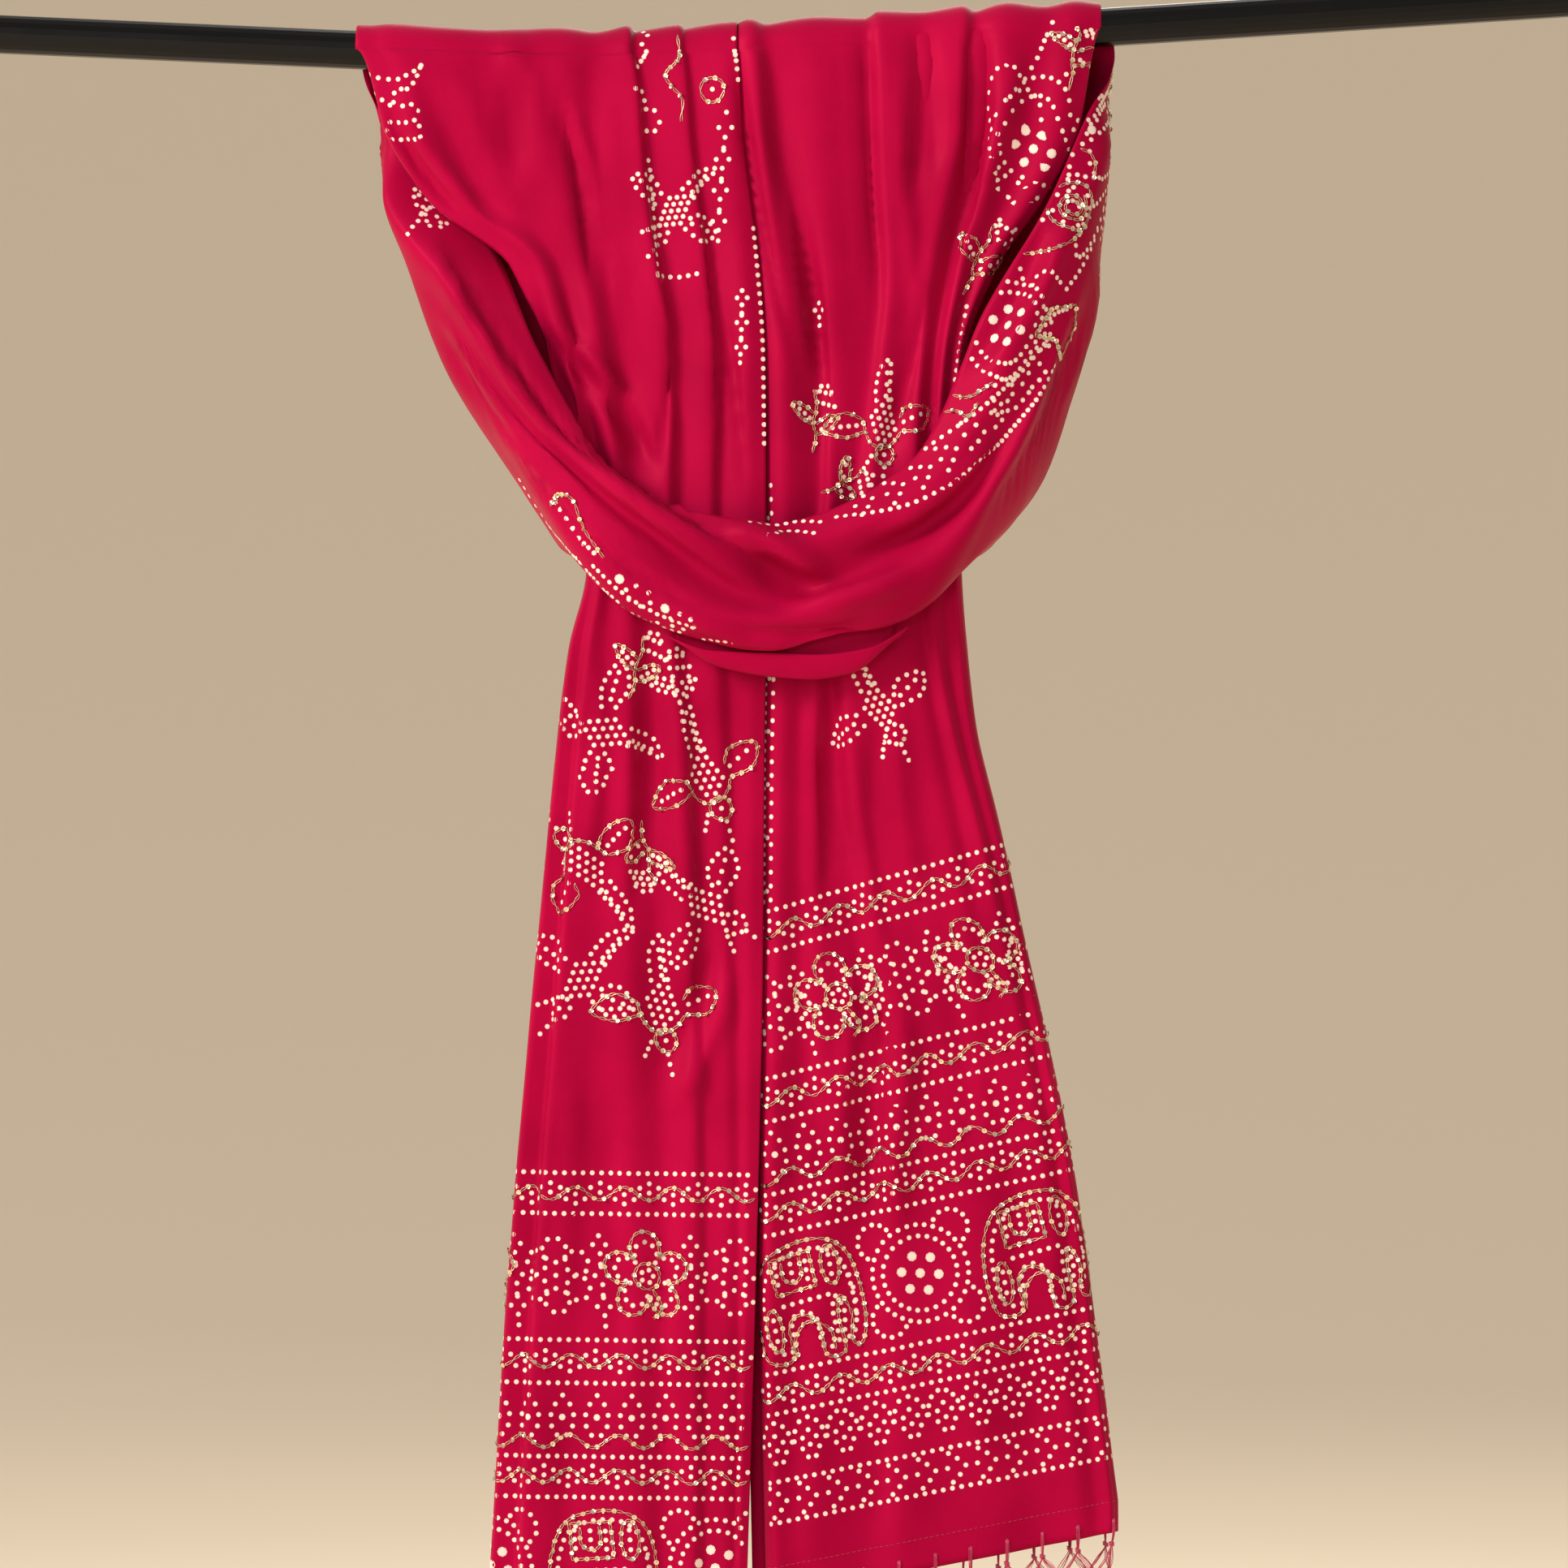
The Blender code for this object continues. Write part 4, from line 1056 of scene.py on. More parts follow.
class Print:
    """The dots and the stitched lines on one sheet, in flat places."""

    def __init__(self, sheet):
        self.sheet, self.dots, self.stitched = sheet, [], []

    def add_dots(self, spots, radius=DOT_RADIUS):
        """Adds dots at flat places."""
        self.dots += [(u, v, radius) for u, v in np.asarray(spots, float)]

    def dotted(self, path, spacing=DOT_SPACING):
        """Adds a line of evenly spaced dots along a flat path."""
        self.add_dots(evenly(path, spacing))

    def stitch(self, path):
        """Adds a stitched line along a flat path."""
        self.stitched.append(evenly(path, STITCH_STEP))

    def stamp(self, motif, u, v, turn=0.0, size=1.0):
        """Adds a motif round a flat place, turned clockwise by degrees as seen from outside."""
        c, s = math.cos(math.radians(turn)), math.sin(math.radians(turn))
        spin = self.sheet.axes @ np.array([[c, -s], [s, c]]) * size
        for kind, path in motif:
            spots = np.stack(self.sheet.shift(u, v, *(spin @ np.asarray(path, float).T)), 1)
            if kind == "line":
                self.dotted(spots)
            elif kind == "dots":
                self.add_dots(spots)
            elif kind in LARGER_DOTS:
                self.add_dots(spots, LARGER_DOTS[kind])
            else:
                self.stitch(spots)

    def stamp_at(self, motif, across, down, turn=0.0, size=1.0):
        """Adds a motif round a place of the layout grid."""
        self.stamp(motif, *self.sheet.find(across, down), turn, size)

    def path_at(self, places):
        """Flat path through places of the layout grid."""
        fine = flow(places, np.linspace(0, len(places) - 1, 4 * len(places)))
        return np.array([self.sheet.find(across, down) for across, down in fine])


def evenly(path, spacing):
    """Points at an even spacing along a path."""
    path = np.asarray(path, float)
    run = np.concatenate([[0], np.cumsum(np.linalg.norm(np.diff(path, axis=0), axis=1))])
    count = max(2, round(run[-1] / spacing) + 1)
    at = np.linspace(0, run[-1], count)
    return np.stack([np.interp(at, run, path[:, 0]), np.interp(at, run, path[:, 1])], 1)


def smooth_path(corners, closed=False, steps=6):
    """A soft curve through a few corners, by Catmull-Rom arcs."""
    spots = np.array(corners, float)
    if closed:
        spots = np.concatenate([spots[-1:], spots, spots[:2]])
    else:
        spots = np.concatenate([2 * spots[:1] - spots[1:2], spots, 2 * spots[-1:] - spots[-2:-1]])
    made = []
    for a, b, c, d in zip(spots[:-3], spots[1:-2], spots[2:-1], spots[3:]):
        for t in np.arange(steps) / steps:
            made.append(((2 * b) + (c - a) * t + (2 * a - 5 * b + 4 * c - d) * t**2
                         + (3 * b - a - 3 * c + d) * t**3) / 2)
    made.append(spots[-2])
    return np.array(made)


def oval(x, y, wide, high, start=0.0, end=360.0):
    """Points of an oval, or of its arc, round a centre. Degrees run clockwise from the right."""
    turn = np.radians(np.linspace(start, end, 25))
    return np.stack([x + wide * np.cos(turn), y + high * np.sin(turn)], 1)


def turns(count, start=0.0):
    """Angles evenly round a circle, from a start in degrees."""
    return math.radians(start) + np.arange(count) * 2 * math.pi / count


def ring_dots(count, wide, high, start=0.0):
    """Places of a ring of dots."""
    turn = turns(count, start)
    return np.stack([wide * np.cos(turn), high * np.sin(turn)], 1)


def medallion():
    """Seven large dots in two dotted rings, with a leaf arc at each corner."""
    made = [("big", [(0, 0)]), ("big", ring_dots(6, 23, 23, 15)),
            ("line", oval(0, 0, 46, 46, 0, 346)), ("line", oval(0, 0, 60, 60, 0, 348))]
    for corner in (45, 135, 225, 315):
        turn = math.radians(corner)
        x, y = 68 * math.cos(turn), 68 * math.sin(turn)
        made.append(("line", oval(x, y, 22, 22, corner - 100, corner + 100)))
    return made


def petal_curve(petals, inner, outer, reach=1.0):
    """Outline of a flower with round petals, as a closed path."""
    turn = np.linspace(0, 2 * math.pi, 16 * petals + 1)
    radius = inner + (outer - inner) * np.abs(np.cos(petals * turn / 2)) ** 0.7
    return np.stack([reach * radius * np.sin(turn), -reach * radius * np.cos(turn)], 1)


def sequin_flower():
    """A flower of five petals outlined in thread, with rows of dots inside and a stitched eye."""
    return [("stitch", petal_curve(5, 26, 55)), ("line", petal_curve(5, 20, 42)),
            ("stitch", oval(0, 0, 16, 16)),
            ("dots", ring_dots(5, 8, 8)), ("stitch", smooth_path([(6, 16), (16, 40), (4, 52)]))]


def dotted_flower():
    """A flower of six looped petals in dots alone."""
    made = [("dots", [(0, 0)])]
    for petal in range(6):
        turn = math.radians(60 * petal + 30)
        x, y = 31 * math.cos(turn), 31 * math.sin(turn)
        made.append(("dots", np.array([(x, y)]) + ring_dots(7, 15, 15, 60 * petal)))
    return made


def diamonds(count):
    """A column of four-dot diamonds with single dots between them."""
    spots = []
    for k in range(count):
        y = (k - (count - 1) / 2) * 38
        spots += [(0, y - 11), (-8, y), (8, y), (0, y + 11), (0, y + 24)]
    return [("dots", spots)]


def buti():
    """A small drop of dots round a large dot."""
    drop = [(0, -27)]
    for wide, level in ((9, -16), (14, -3), (13, 11), (6, 22)):
        drop += [(-wide, level), (wide, level)]
    return [("dots", drop), ("middle", [(0, 0)])]


def arched_buti():
    """A drop of dots under a dotted arch."""
    drop = [(0, -15), (-9, -6), (9, -6), (-11, 7), (11, 7), (-5, 18), (5, 18), (0, 3)]
    return [("dots", drop), ("line", oval(0, 2, 21, 33, 190, 350))]


def chevron():
    """One sideways chevron of dots with a dot in its mouth."""
    return [("dots", [(-8, -18), (2, -10), (11, 0), (2, 10), (-8, 18), (-12, 0)])]


def elephant():
    """A standing elephant with a saddle cloth, its trunk to the right."""
    body = [(-60, 70), (-68, 28), (-62, -20), (-42, -54), (-4, -68), (36, -66), (60, -44), (69, -4),
            (68, 42), (58, 68), (47, 62), (52, 30), (42, 6), (35, 32), (36, 72), (12, 74), (10, 34),
            (-10, 20), (-28, 32), (-30, 72)]
    body = smooth_path(body, closed=True)
    inner = body * np.array([0.84, 0.84])
    cloth = [(-38, -52), (14, -56), (16, -12), (-36, -8), (-38, -52)]
    swing = smooth_path([(-24, -48), (-24, -28), (-12, -20), (0, -28), (0, -50)])
    fill = [(x, y) for y in (-44, -33, -22) for x in (-32, -12, 7)]
    return [("stitch", body), ("line", inner), ("stitch", cloth), ("stitch", swing), ("dots", fill),
            ("stitch", oval(37, -34, 11, 24)), ("dots", [(37, -46), (37, -34), (37, -22)]),
            ("stitch", oval(-46, 34, 9, 26)), ("dots", [(-46, 20), (-46, 33), (-46, 46)]),
            ("stitch", smooth_path([(24, 70), (22, 44), (-2, 30), (-22, 46), (-24, 70)])),
            ("line", [(-30, 6), (28, 2)]), ("dots", [(58, -16), (60, 0), (60, 16), (58, 32)])]


def bird(stitched):
    """A flying bird: a latticed body, two pointed wings, a leaf of a tail and a ringed head."""
    outline = "stitch" if stitched else "line"
    body = [(11 * k + 3 * row - 26, 11 * row + 2 * k - 18) for row in range(4) for k in range(5)]
    high = smooth_path([(8, -24), (0, -44), (22, -74), (40, -48), (26, -18)])
    low = smooth_path([(-24, -22), (-46, -32), (-74, -52), (-64, -22), (-34, -2)])
    tail = smooth_path([(-22, 30), (-44, 52), (-38, 88), (-12, 66), (-4, 36)])
    made = [("dots", body), (outline, high), ("line", low), (outline, tail),
            ("line", [(16, -28), (21, -58)]), ("line", [(-32, -18), (-60, -36)]),
            ("line", [(-18, 42), (-33, 74)]), (outline, oval(42, 22, 15, 14)), ("dots", [(42, 22)]),
            ("line", [(58, 30), (80, 44)]), ("line", [(34, 40), (44, 58)])]
    if stitched:
        made.append(("stitch", smooth_path([(26, -18), (34, 2), (30, 24), (8, 34), (-22, 30)])))
    return made


def leaf_sprig(stitched):
    """A sprig with a forked stem, folded leaves and a comb of dotted veins."""
    outline = "stitch" if stitched else "line"
    stem = smooth_path([(-8, 58), (0, 30), (-4, 4), (4, -24), (0, -50)])
    left = smooth_path([(-4, 8), (-30, -6), (-44, -30), (-22, -26), (0, -12)])
    right = smooth_path([(0, 26), (26, 18), (44, -4), (26, -8), (2, 6)])
    comb = [[(x, -52 + 3 * k), (x + 6, -30 + 3 * k)] for k, x in enumerate((10, 22, 34))]
    made = [(outline, stem), (outline, left), (outline, right), ("line", [(-30, -20), (-10, -4)]),
            ("line", [(12, 16), (32, 0)]), ("line", oval(20, -50, 16, 12, 180, 360))]
    return made + [("line", path) for path in comb]


WAVE_LENGTH = 62
WAVE_HEIGHT = 8


def wave_row(made, level, end, dotted):
    """A stitched wave along a row, mostly with three dots and one in each of its bays."""
    u = np.arange(0, end, 3.0)
    made.stitch(np.stack([u, level + WAVE_HEIGHT * np.sin(2 * math.pi * u / WAVE_LENGTH)], 1))
    for k in range(int(end / WAVE_LENGTH) + 1 if dotted else 0):
        for at, side in ((0.25, -1), (0.75, 1)):
            bay = np.array([(-12, 7), (0, 12.5), (12, 7), (0, 1)]) * (1, side)
            made.add_dots(bay + ((k + at) * WAVE_LENGTH, level))


# Rows of the end panel, from its first row to its last. Columns: kind, squares below the first.
PANEL_ROWS = (
    ("dots", 0),
    ("wave", 25),
    ("dots", 50),
    ("flowers", 126),
    ("dots", 205),
    ("wave", 231),
    ("dots", 258),
    ("butis", 300),
    ("plain wave", 329),
    ("dots", 348),
    ("wave", 372),
    ("dots", 398),
    ("elephants", 483),
    ("dots", 568),
    ("wave", 594),
    ("dots", 618),
    ("arches", 660),
    ("dots", 701),
    ("chevrons", 726),
    ("dots", 751),
)


def end_panel(made, first_level, end, flowers, grand):
    """The patterned end of a tail, row by row, round the fold and on to the back.

    Flowers gives their pitch and first place, grand its motifs, their pitch and first place.
    """
    motif_rows = {
        "flowers": ((dotted_flower(), diamonds(3), sequin_flower(), diamonds(3)), *flowers),
        "butis": ((buti(),), 43, 26),
        "elephants": grand,
        "arches": ((arched_buti(),), 43, 24),
        "chevrons": ((chevron(),), 38, 24),
    }
    for kind, below in PANEL_ROWS:
        level = first_level + below
        if kind == "dots":
            made.dotted([(2, level), (end, level)])
        elif kind in motif_rows:
            motifs, pitch, first = motif_rows[kind]
            for k in range(int((end - first) / pitch) + 1):
                made.stamp(motifs[k % len(motifs)], first + k * pitch, level)
        else:
            wave_row(made, level, end, kind == "wave")


def dots_mesh(name, made, look):
    """One mesh of all the printed dots of a sheet, each a small disc that follows the cloth."""
    dots = np.array(made.dots)
    sheet = made.sheet
    u, v, radius = dots[sheet.inside(dots[:, 0], dots[:, 1], DOT_MARGIN)].T
    turn = turns(DOT_SIDES)
    rim_u, rim_v = sheet.shift(u[:, None], v[:, None],
                               radius[:, None] * np.cos(turn), radius[:, None] * np.sin(turn))
    middle, up = sheet.spot(u, v)
    rim, rim_up = sheet.spot(rim_u, rim_v)
    whole = np.linalg.norm(rim - middle[:, None], axis=2).max(1) < DOT_STRETCH * radius * GRID
    lift = DOT_LIFT * (radius / DOT_RADIUS)[:, None, None]**2
    disc = np.concatenate([(middle + up * lift[:, 0])[:, None], rim + rim_up * lift / 2], axis=1)
    verts = disc[whole]
    starts = range(0, len(verts) * (DOT_SIDES + 1), DOT_SIDES + 1)
    faces = [(start, start + 1 + k, start + 1 + (k + 1) % DOT_SIDES)
             for start in starts for k in range(DOT_SIDES)]
    dyed = add_piece(name, verts.reshape(-1, 3), faces, look)
    edge = dyed.data.attributes.new("edge", "FLOAT", "POINT")
    edge.data.foreach_set("value", np.tile([0.0] + [1.0] * DOT_SIDES, len(verts)))


def thread_runs(made):
    """Positions, normals and sideways directions of each stitched line that lies on the cloth."""
    sheet = made.sheet
    for path in made.stitched:
        fits = sheet.inside(*path.T, STITCH_MARGIN)
        spots, up = sheet.spot(*path.T)
        leaps = np.linalg.norm(np.diff(spots, axis=0), axis=1) > STITCH_LEAP
        breaks = np.flatnonzero(leaps | ~fits[1:] | ~fits[:-1]) + 1
        for piece in np.split(np.arange(len(path)), breaks):
            if len(piece) < STITCH_LEAST_POINTS:
                continue
            way = np.gradient(spots[piece], axis=0)
            yield spots[piece], up[piece], unit(np.cross(up[piece], way))


def tube_rings(centres, side, up, radius, verts, faces):
    """Adds a thin three-sided tube through centres to lists of points and faces."""
    start = len(verts)
    for k in range(3):
        turn = 2 * math.pi * k / 3
        verts.extend(centres + side * radius * math.cos(turn) + up * radius * math.sin(turn))
    count = len(centres)
    for k in range(3):
        a, b = start + k * count, start + (k + 1) % 3 * count
        faces.extend((a + i, b + i, b + i + 1, a + i + 1) for i in range(count - 1))
    faces.append((start, start + 2 * count, start + count))
    faces.append((start + count - 1, start + 2 * count - 1, start + 3 * count - 1))


def thread_mesh(name, made, look, radius):
    """Two crossing strands of metallic thread along every stitched line."""
    verts, faces = [], []
    for spots, up, side in thread_runs(made):
        phase = np.arange(len(spots)) * STITCH_STEP / SEQUIN_PITCH * math.pi
        for strand in (0, math.pi):
            sway = np.sin(phase + strand)[:, None] * THREAD_SWAY
            lift = THREAD_LIFT + np.cos(2 * phase)[:, None] * THREAD_WAVE
            tube_rings(spots + side * sway + up * lift, side, up, radius, verts, faces)
    add_piece(name, verts, faces, look)


def sequin_mesh(name, made, look, radius):
    """Cupped sequins with a hole, one at each crossing of the strands, tilted unevenly."""
    chance = random.Random(SEED)
    rings = radius * np.array([(r * math.cos(t), r * math.sin(t), z)
                               for r, z in SEQUIN_PROFILE for t in turns(SEQUIN_SIDES)])
    pattern = np.array(ring_faces(len(SEQUIN_PROFILE), SEQUIN_SIDES))
    verts, faces = [], []
    every = round(SEQUIN_PITCH / STITCH_STEP)
    for spots, up, side in thread_runs(made):
        for k in range(every, len(spots), every):
            if chance.random() < SEQUIN_MISSING:
                continue
            lean = [chance.gauss(0, SEQUIN_TILT) for _ in range(2)]
            ahead = np.cross(side[k], up[k])
            axis = unit(up[k] + side[k] * lean[0] + ahead * lean[1])
            first = unit(np.cross(ahead, axis))
            basis = np.stack([first, np.cross(axis, first), axis])
            faces.extend((pattern + len(verts)).tolist())
            verts.extend(rings @ basis + spots[k] + up[k] * SEQUIN_LIFT)
    add_piece(name, verts, faces, look)


def tail_sheet(points, folds, hem_level):
    """The flat places of a tail: v is its level in squares, carried on up over the rod."""
    over_rod = (np.arange(WRAP_STEPS) - WRAP_STEPS) * math.pi * ROD_RADIUS / WRAP_STEPS / GRID
    hanging = np.linspace(LEVELS[0], hem_level + HEM_SQUARES, len(points) - WRAP_STEPS)
    along = np.concatenate([LEVELS[0] + over_rod, hanging])
    outward = 1 if folds[0][1][0] > folds[-1][1][0] else -1
    return Sheet(points, along, ((outward, 0), (0, 1)), along > LEVELS[0] - OVER_ROD_SHOWN)


def loop_sheet(points):
    """The flat places of the loop: v runs along it from behind the rod on the left."""
    steps = np.linalg.norm(np.diff(points, axis=0), axis=2).mean(1) / GRID
    along = np.concatenate([[0], np.cumsum(steps)])
    place = np.linspace(0, LOOP_LAST_PLACE, len(points))
    shows = np.minimum(place, LOOP_LAST_PLACE - place) > SHOWS_FROM
    return Sheet(points, along, ((0, 1), (1, 0)), shows)


def print_left_tail(made):
    """The left tail: birds in the field, a border at its two bordered folds, the end panel."""
    end_panel(made, 1446, 900, (57, 27), ((medallion(), elephant()), 146, 42))
    for across, down, turn, stitched in (
        (748, 905, 165, False), (872, 954, 40, True), (722, 1070, 205, True), (868, 1112, 5, False),
        (722, 1206, 100, False), (818, 1236, 60, True),
    ):
        made.stamp_at(bird(stitched), across, down, turn, 0.95)
    for across, down, turn, stitched in (
        (786, 822, 10, True), (832, 848, -20, False), (796, 1052, 170, True),
    ):
        made.stamp_at(leaf_sprig(stitched), across, down, turn, 0.72)
    made.stamp_at(bird(False), 834, 262, 100, 0.8)
    made.stamp_at([("stitch", oval(0, 0, 15, 15)), ("dots", [(0, 0)])], 878, 112)
    made.stamp_at(diamonds(4), 889, 218)
    made.stamp_at(diamonds(3), 914, 400, 0, 0.8)
    for places in (
        ((455, 92), (470, 99), (490, 100), (505, 94), (520, 83)),
        ((519, 86), (513, 102), (503, 112)),
        ((460, 114), (470, 126), (482, 132)),
        ((496, 112), (483, 122), (493, 134), (513, 131), (518, 144), (505, 154), (482, 153)),
        ((478, 164), (486, 175), (505, 174), (520, 176), (519, 160)),
        ((782, 40), (800, 42), (790, 60), (797, 66), (786, 84)),
        ((784, 112), (795, 118), (793, 136), (806, 138), (812, 152), (810, 164), (797, 164)),
        ((799, 200), (806, 270), (812, 340)),
        ((812, 342), (835, 344), (860, 340)),
        ((904, 50), (916, 160), (930, 300), (940, 430), (942, 560)),
    ):
        made.dotted(made.path_at(places))
    made.stitch(made.path_at(((835, 46), (838, 72), (820, 96), (842, 128), (839, 156))))
    for level, stitched in ((800, False), (1010, True), (1210, False)):
        made.stamp(bird(stitched), 385, level, 15)


def print_right_tail(made):
    """The right tail: its long border, the birds under the swag and the end panel."""
    end_panel(made, 1125, 1100, (46, 16), ((elephant(), medallion()), 146, 66))
    made.dotted([(5, 600), (5, 1112)])
    made.dotted([(17, 600), (17, 1112)], 17)
    made.dotted([(11, 640), (11, 1100)], 62)
    for across, down, turn, stitched in ((1084, 870, 40, False), (1090, 522, 60, True)):
        made.stamp_at(bird(stitched), across, down, turn, 0.86)
    made.stamp_at(leaf_sprig(True), 1004, 520, 0, 0.7)
    made.stamp_at(leaf_sprig(True), 1040, 596, 60, 0.6)
    made.stamp_at(diamonds(1), 1010, 384, 0, 0.8)
    made.stamp_at(medallion(), 1272, 186)
    made.stamp_at(leaf_sprig(True), 1325, 62, 15, 0.75)
    made.stamp_at(leaf_sprig(True), 1205, 320, 10, 0.8)
    for places in (
        ((1296, 30), (1276, 75), (1262, 100)),
        ((1244, 122), (1262, 112), (1280, 128), (1282, 150)),
        ((1190, 380), (1182, 430), (1176, 470)),
    ):
        made.dotted(made.path_at(places))
    for level, stitched in ((740, True), (930, False)):
        made.stamp(bird(stitched), 420, level, 15)


def spiral():
    """A curled trunk in thread: a ring with a coil inside it and rows of dots."""
    turn = np.linspace(0, 4.2 * math.pi, 50)
    reach = 20 - 14 * turn / turn[-1]
    coil = np.stack([reach * np.cos(turn), reach * np.sin(turn)], 1)
    return [("stitch", oval(0, 0, 31, 30)), ("stitch", coil), ("dots", ring_dots(7, 25, 24, 10)),
            ("line", oval(0, 0, 41, 40, 200, 340))]


def print_loop(made):
    """The loop: a border along one long edge, tucked under at the swag, and motifs by the other."""
    sheet = made.sheet
    table_places = np.linspace(0, LOOP_LAST_PLACE, len(sheet.along))

    def along_at(place):
        """Flat place along the loop for a place of its table."""
        return np.interp(place, table_places, sheet.along)

    for places in BORDER_LINES:
        made.dotted(made.path_at(places))
    for places in BORDER_STITCHES:
        made.stitch(made.path_at(places))
    for across, down in BORDER_CHEVRONS:
        made.stamp_at(chevron(), across, down)
    made.stamp_at(medallion(), 1240, 405)
    made.stamp_at(spiral(), 1320, 258)
    made.stamp_at([("big", [(0, 0), (-24, 6), (-14, 24)])], 1336, 104)
    # Round the back of the right arm the border goes on at its full width.
    first, last = along_at(10.6), along_at(13.9)
    for depth in (10, 122, 136, 180):
        made.dotted([(depth, first), (depth, last)])
    for at in np.arange(first + 30, last - 20, 38):
        made.stamp(chevron(), 158, at)
    for k, at in enumerate(np.arange(first + 110, last - 60, 146)):
        made.stamp((medallion(), elephant())[k % 2], 66, at, 270, 0.95)
    # The other long edge shows low on the left of the swag and behind the left arm.
    made.stamp_at(leaf_sprig(False), 526, 262, -20, 0.7)
    eye = [("big", [(0, 0)]), ("dots", ring_dots(6, 15, 12, 20) + (22, 16))]
    for across, down in ((765, 716), (821, 752)):
        made.stamp_at(eye, across, down)
    for depth in (10, 120):
        places = np.linspace(0.1, 3.2, 40)
        reach = np.interp(along_at(places), sheet.along, sheet.length)
        made.dotted(np.stack([reach - depth, along_at(places)], 1))
    edge = np.interp(along_at(1.5), sheet.along, sheet.length)
    for place, motif in ((0.55, elephant()), (1.5, medallion()), (2.4, elephant())):
        made.stamp(motif, edge - 66, along_at(place), 90, 0.9)
    for place, depth, stitched in (
        (0.7, 110, True), (1.6, 200, False), (12.3, 380, True), (13.1, 290, False),
    ):
        made.stamp(bird(stitched), depth, along_at(place), 75)


def hem_stitches(name, sheet, hem_level, look):
    """Short straight stitches that hold the turned hem, along both layers of a tail's end."""
    verts, faces = [], []
    end = np.interp(hem_level, sheet.along, sheet.length) - STITCH_END_GAP
    for u in np.arange(STITCH_END_GAP, end, STITCH_PITCH):
        ends = np.array([u, u + STITCH_PITCH * STITCH_SHARE])
        spots, up = sheet.spot(ends, np.full(2, hem_level))
        side = unit(np.cross(up, np.gradient(spots, axis=0)))
        tube_rings(spots, side, up, STITCH_RADIUS, verts, faces)
    add_piece(name, verts, faces, look)


def thread_path(spots, radius, verts, faces):
    """Adds one fringe thread: a thin tube along a soft curve through a few places."""
    fine = flow(spots, np.linspace(0, len(spots) - 1, FRINGE_STEPS))
    way = unit(np.gradient(fine, axis=0))
    side = unit(np.cross(way, (0.0, 1.0, 0.0)))
    tube_rings(fine, side, np.cross(side, way), radius, verts, faces)


def fringe_mesh(name, sheet, hem_level, look, tail_length):
    """Silky tassels looped through the hem, halved, and each half knotted to its neighbour's."""
    chance = random.Random(SEED + hem_level)
    verts, faces = [], []
    edge = hem_level + HEM_SQUARES
    length = np.interp(edge, sheet.along, sheet.length)
    count = int(length / TASSEL_PITCH)
    margin = (length - (count - 1) * TASSEL_PITCH) / 2
    u = margin + np.arange(count) * TASSEL_PITCH
    root, root_up = sheet.spot(u, np.full(count, edge - TASSEL_BITE))
    low, low_up = sheet.spot(u, np.full(count, edge - 1.0))
    down = np.array([0.0, 0.0, -1.0])
    for k in range(count):
        hang = 1 + chance.uniform(-HANG_CHANGE, HANG_CHANGE)
        neck = low[k] - low_up[k] * NECK_BACK + down * NECK_DROP * hang
        for end in (-1, 1):
            other = k + end
            joined = 0 <= other < count and np.linalg.norm(low[other] - low[k]) < TASSEL_LEAP
            target = low[other] if joined else low[k] + (low[k] - low[k - end]) * LAST_HALF_REACH
            knot = (low[k] + target) / 2 + down * KNOT_DROP - (0.0, KNOT_FORWARD, 0.0)
            for _ in range(THREADS_PER_HALF):
                loose = np.array([chance.gauss(0, 1) for _ in range(3)]) * THREAD_SPREAD
                start = root[k] + root_up[k] * (0.4 * MM) + loose * np.array([0.9, 0.2, 0.6])
                belly = (neck + knot) / 2 + loose * 1.8 + down * chance.uniform(*BELLY_DROP) * MM
                tail = np.array([chance.gauss(0, sway) for sway in TAIL_SWAY] + [0]) * MM
                tip = knot + tail + down * tail_length * (1 + chance.uniform(*TAIL_CHANGE))
                spots = [start, low[k] + low_up[k] * 0.5 * MM + loose, neck + loose * 0.6, belly,
                         knot + loose * 0.5, (knot + tip) / 2 + tail * 0.3, tip]
                thread_path(spots, FRINGE_THREAD, verts, faces)
            if end == 1 or not joined:
                add_knot(knot, verts, faces, chance)
        add_knot(neck, verts, faces, chance)
    return add_piece(name, verts, faces, look)


def add_knot(centre, verts, faces, chance):
    """A thread's turn round a bundle: a small twisted ring of thicker coils."""
    turn = np.linspace(0, KNOT_TURNS * 2 * math.pi, KNOT_POINTS)
    lean = chance.uniform(-0.4, 0.4)
    height = (turn / turn[-1] - 0.5) * 1.5 + lean * np.cos(turn)
    coil = KNOT_WIDTH * np.stack([np.cos(turn), 0.8 * np.sin(turn), height], 1)
    out, up = unit(coil * (1, 1, 0)), np.array([(0.0, 0.0, 1.0)])
    tube_rings(coil + centre, out, up, KNOT_WIDTH * KNOT_STRAND, verts, faces)


def colour_setting(name, description, code):
    """A colour that a user may change."""
    return bpy.props.FloatVectorProperty(
        name=name, description=description, size=4, subtype="COLOR", default=hex_colour(code))


def length_setting(name, description, length):
    """A length in metres that a user may change."""
    return bpy.props.FloatProperty(
        name=name, description=description, default=length, min=0.0, precision=5, unit="LENGTH")


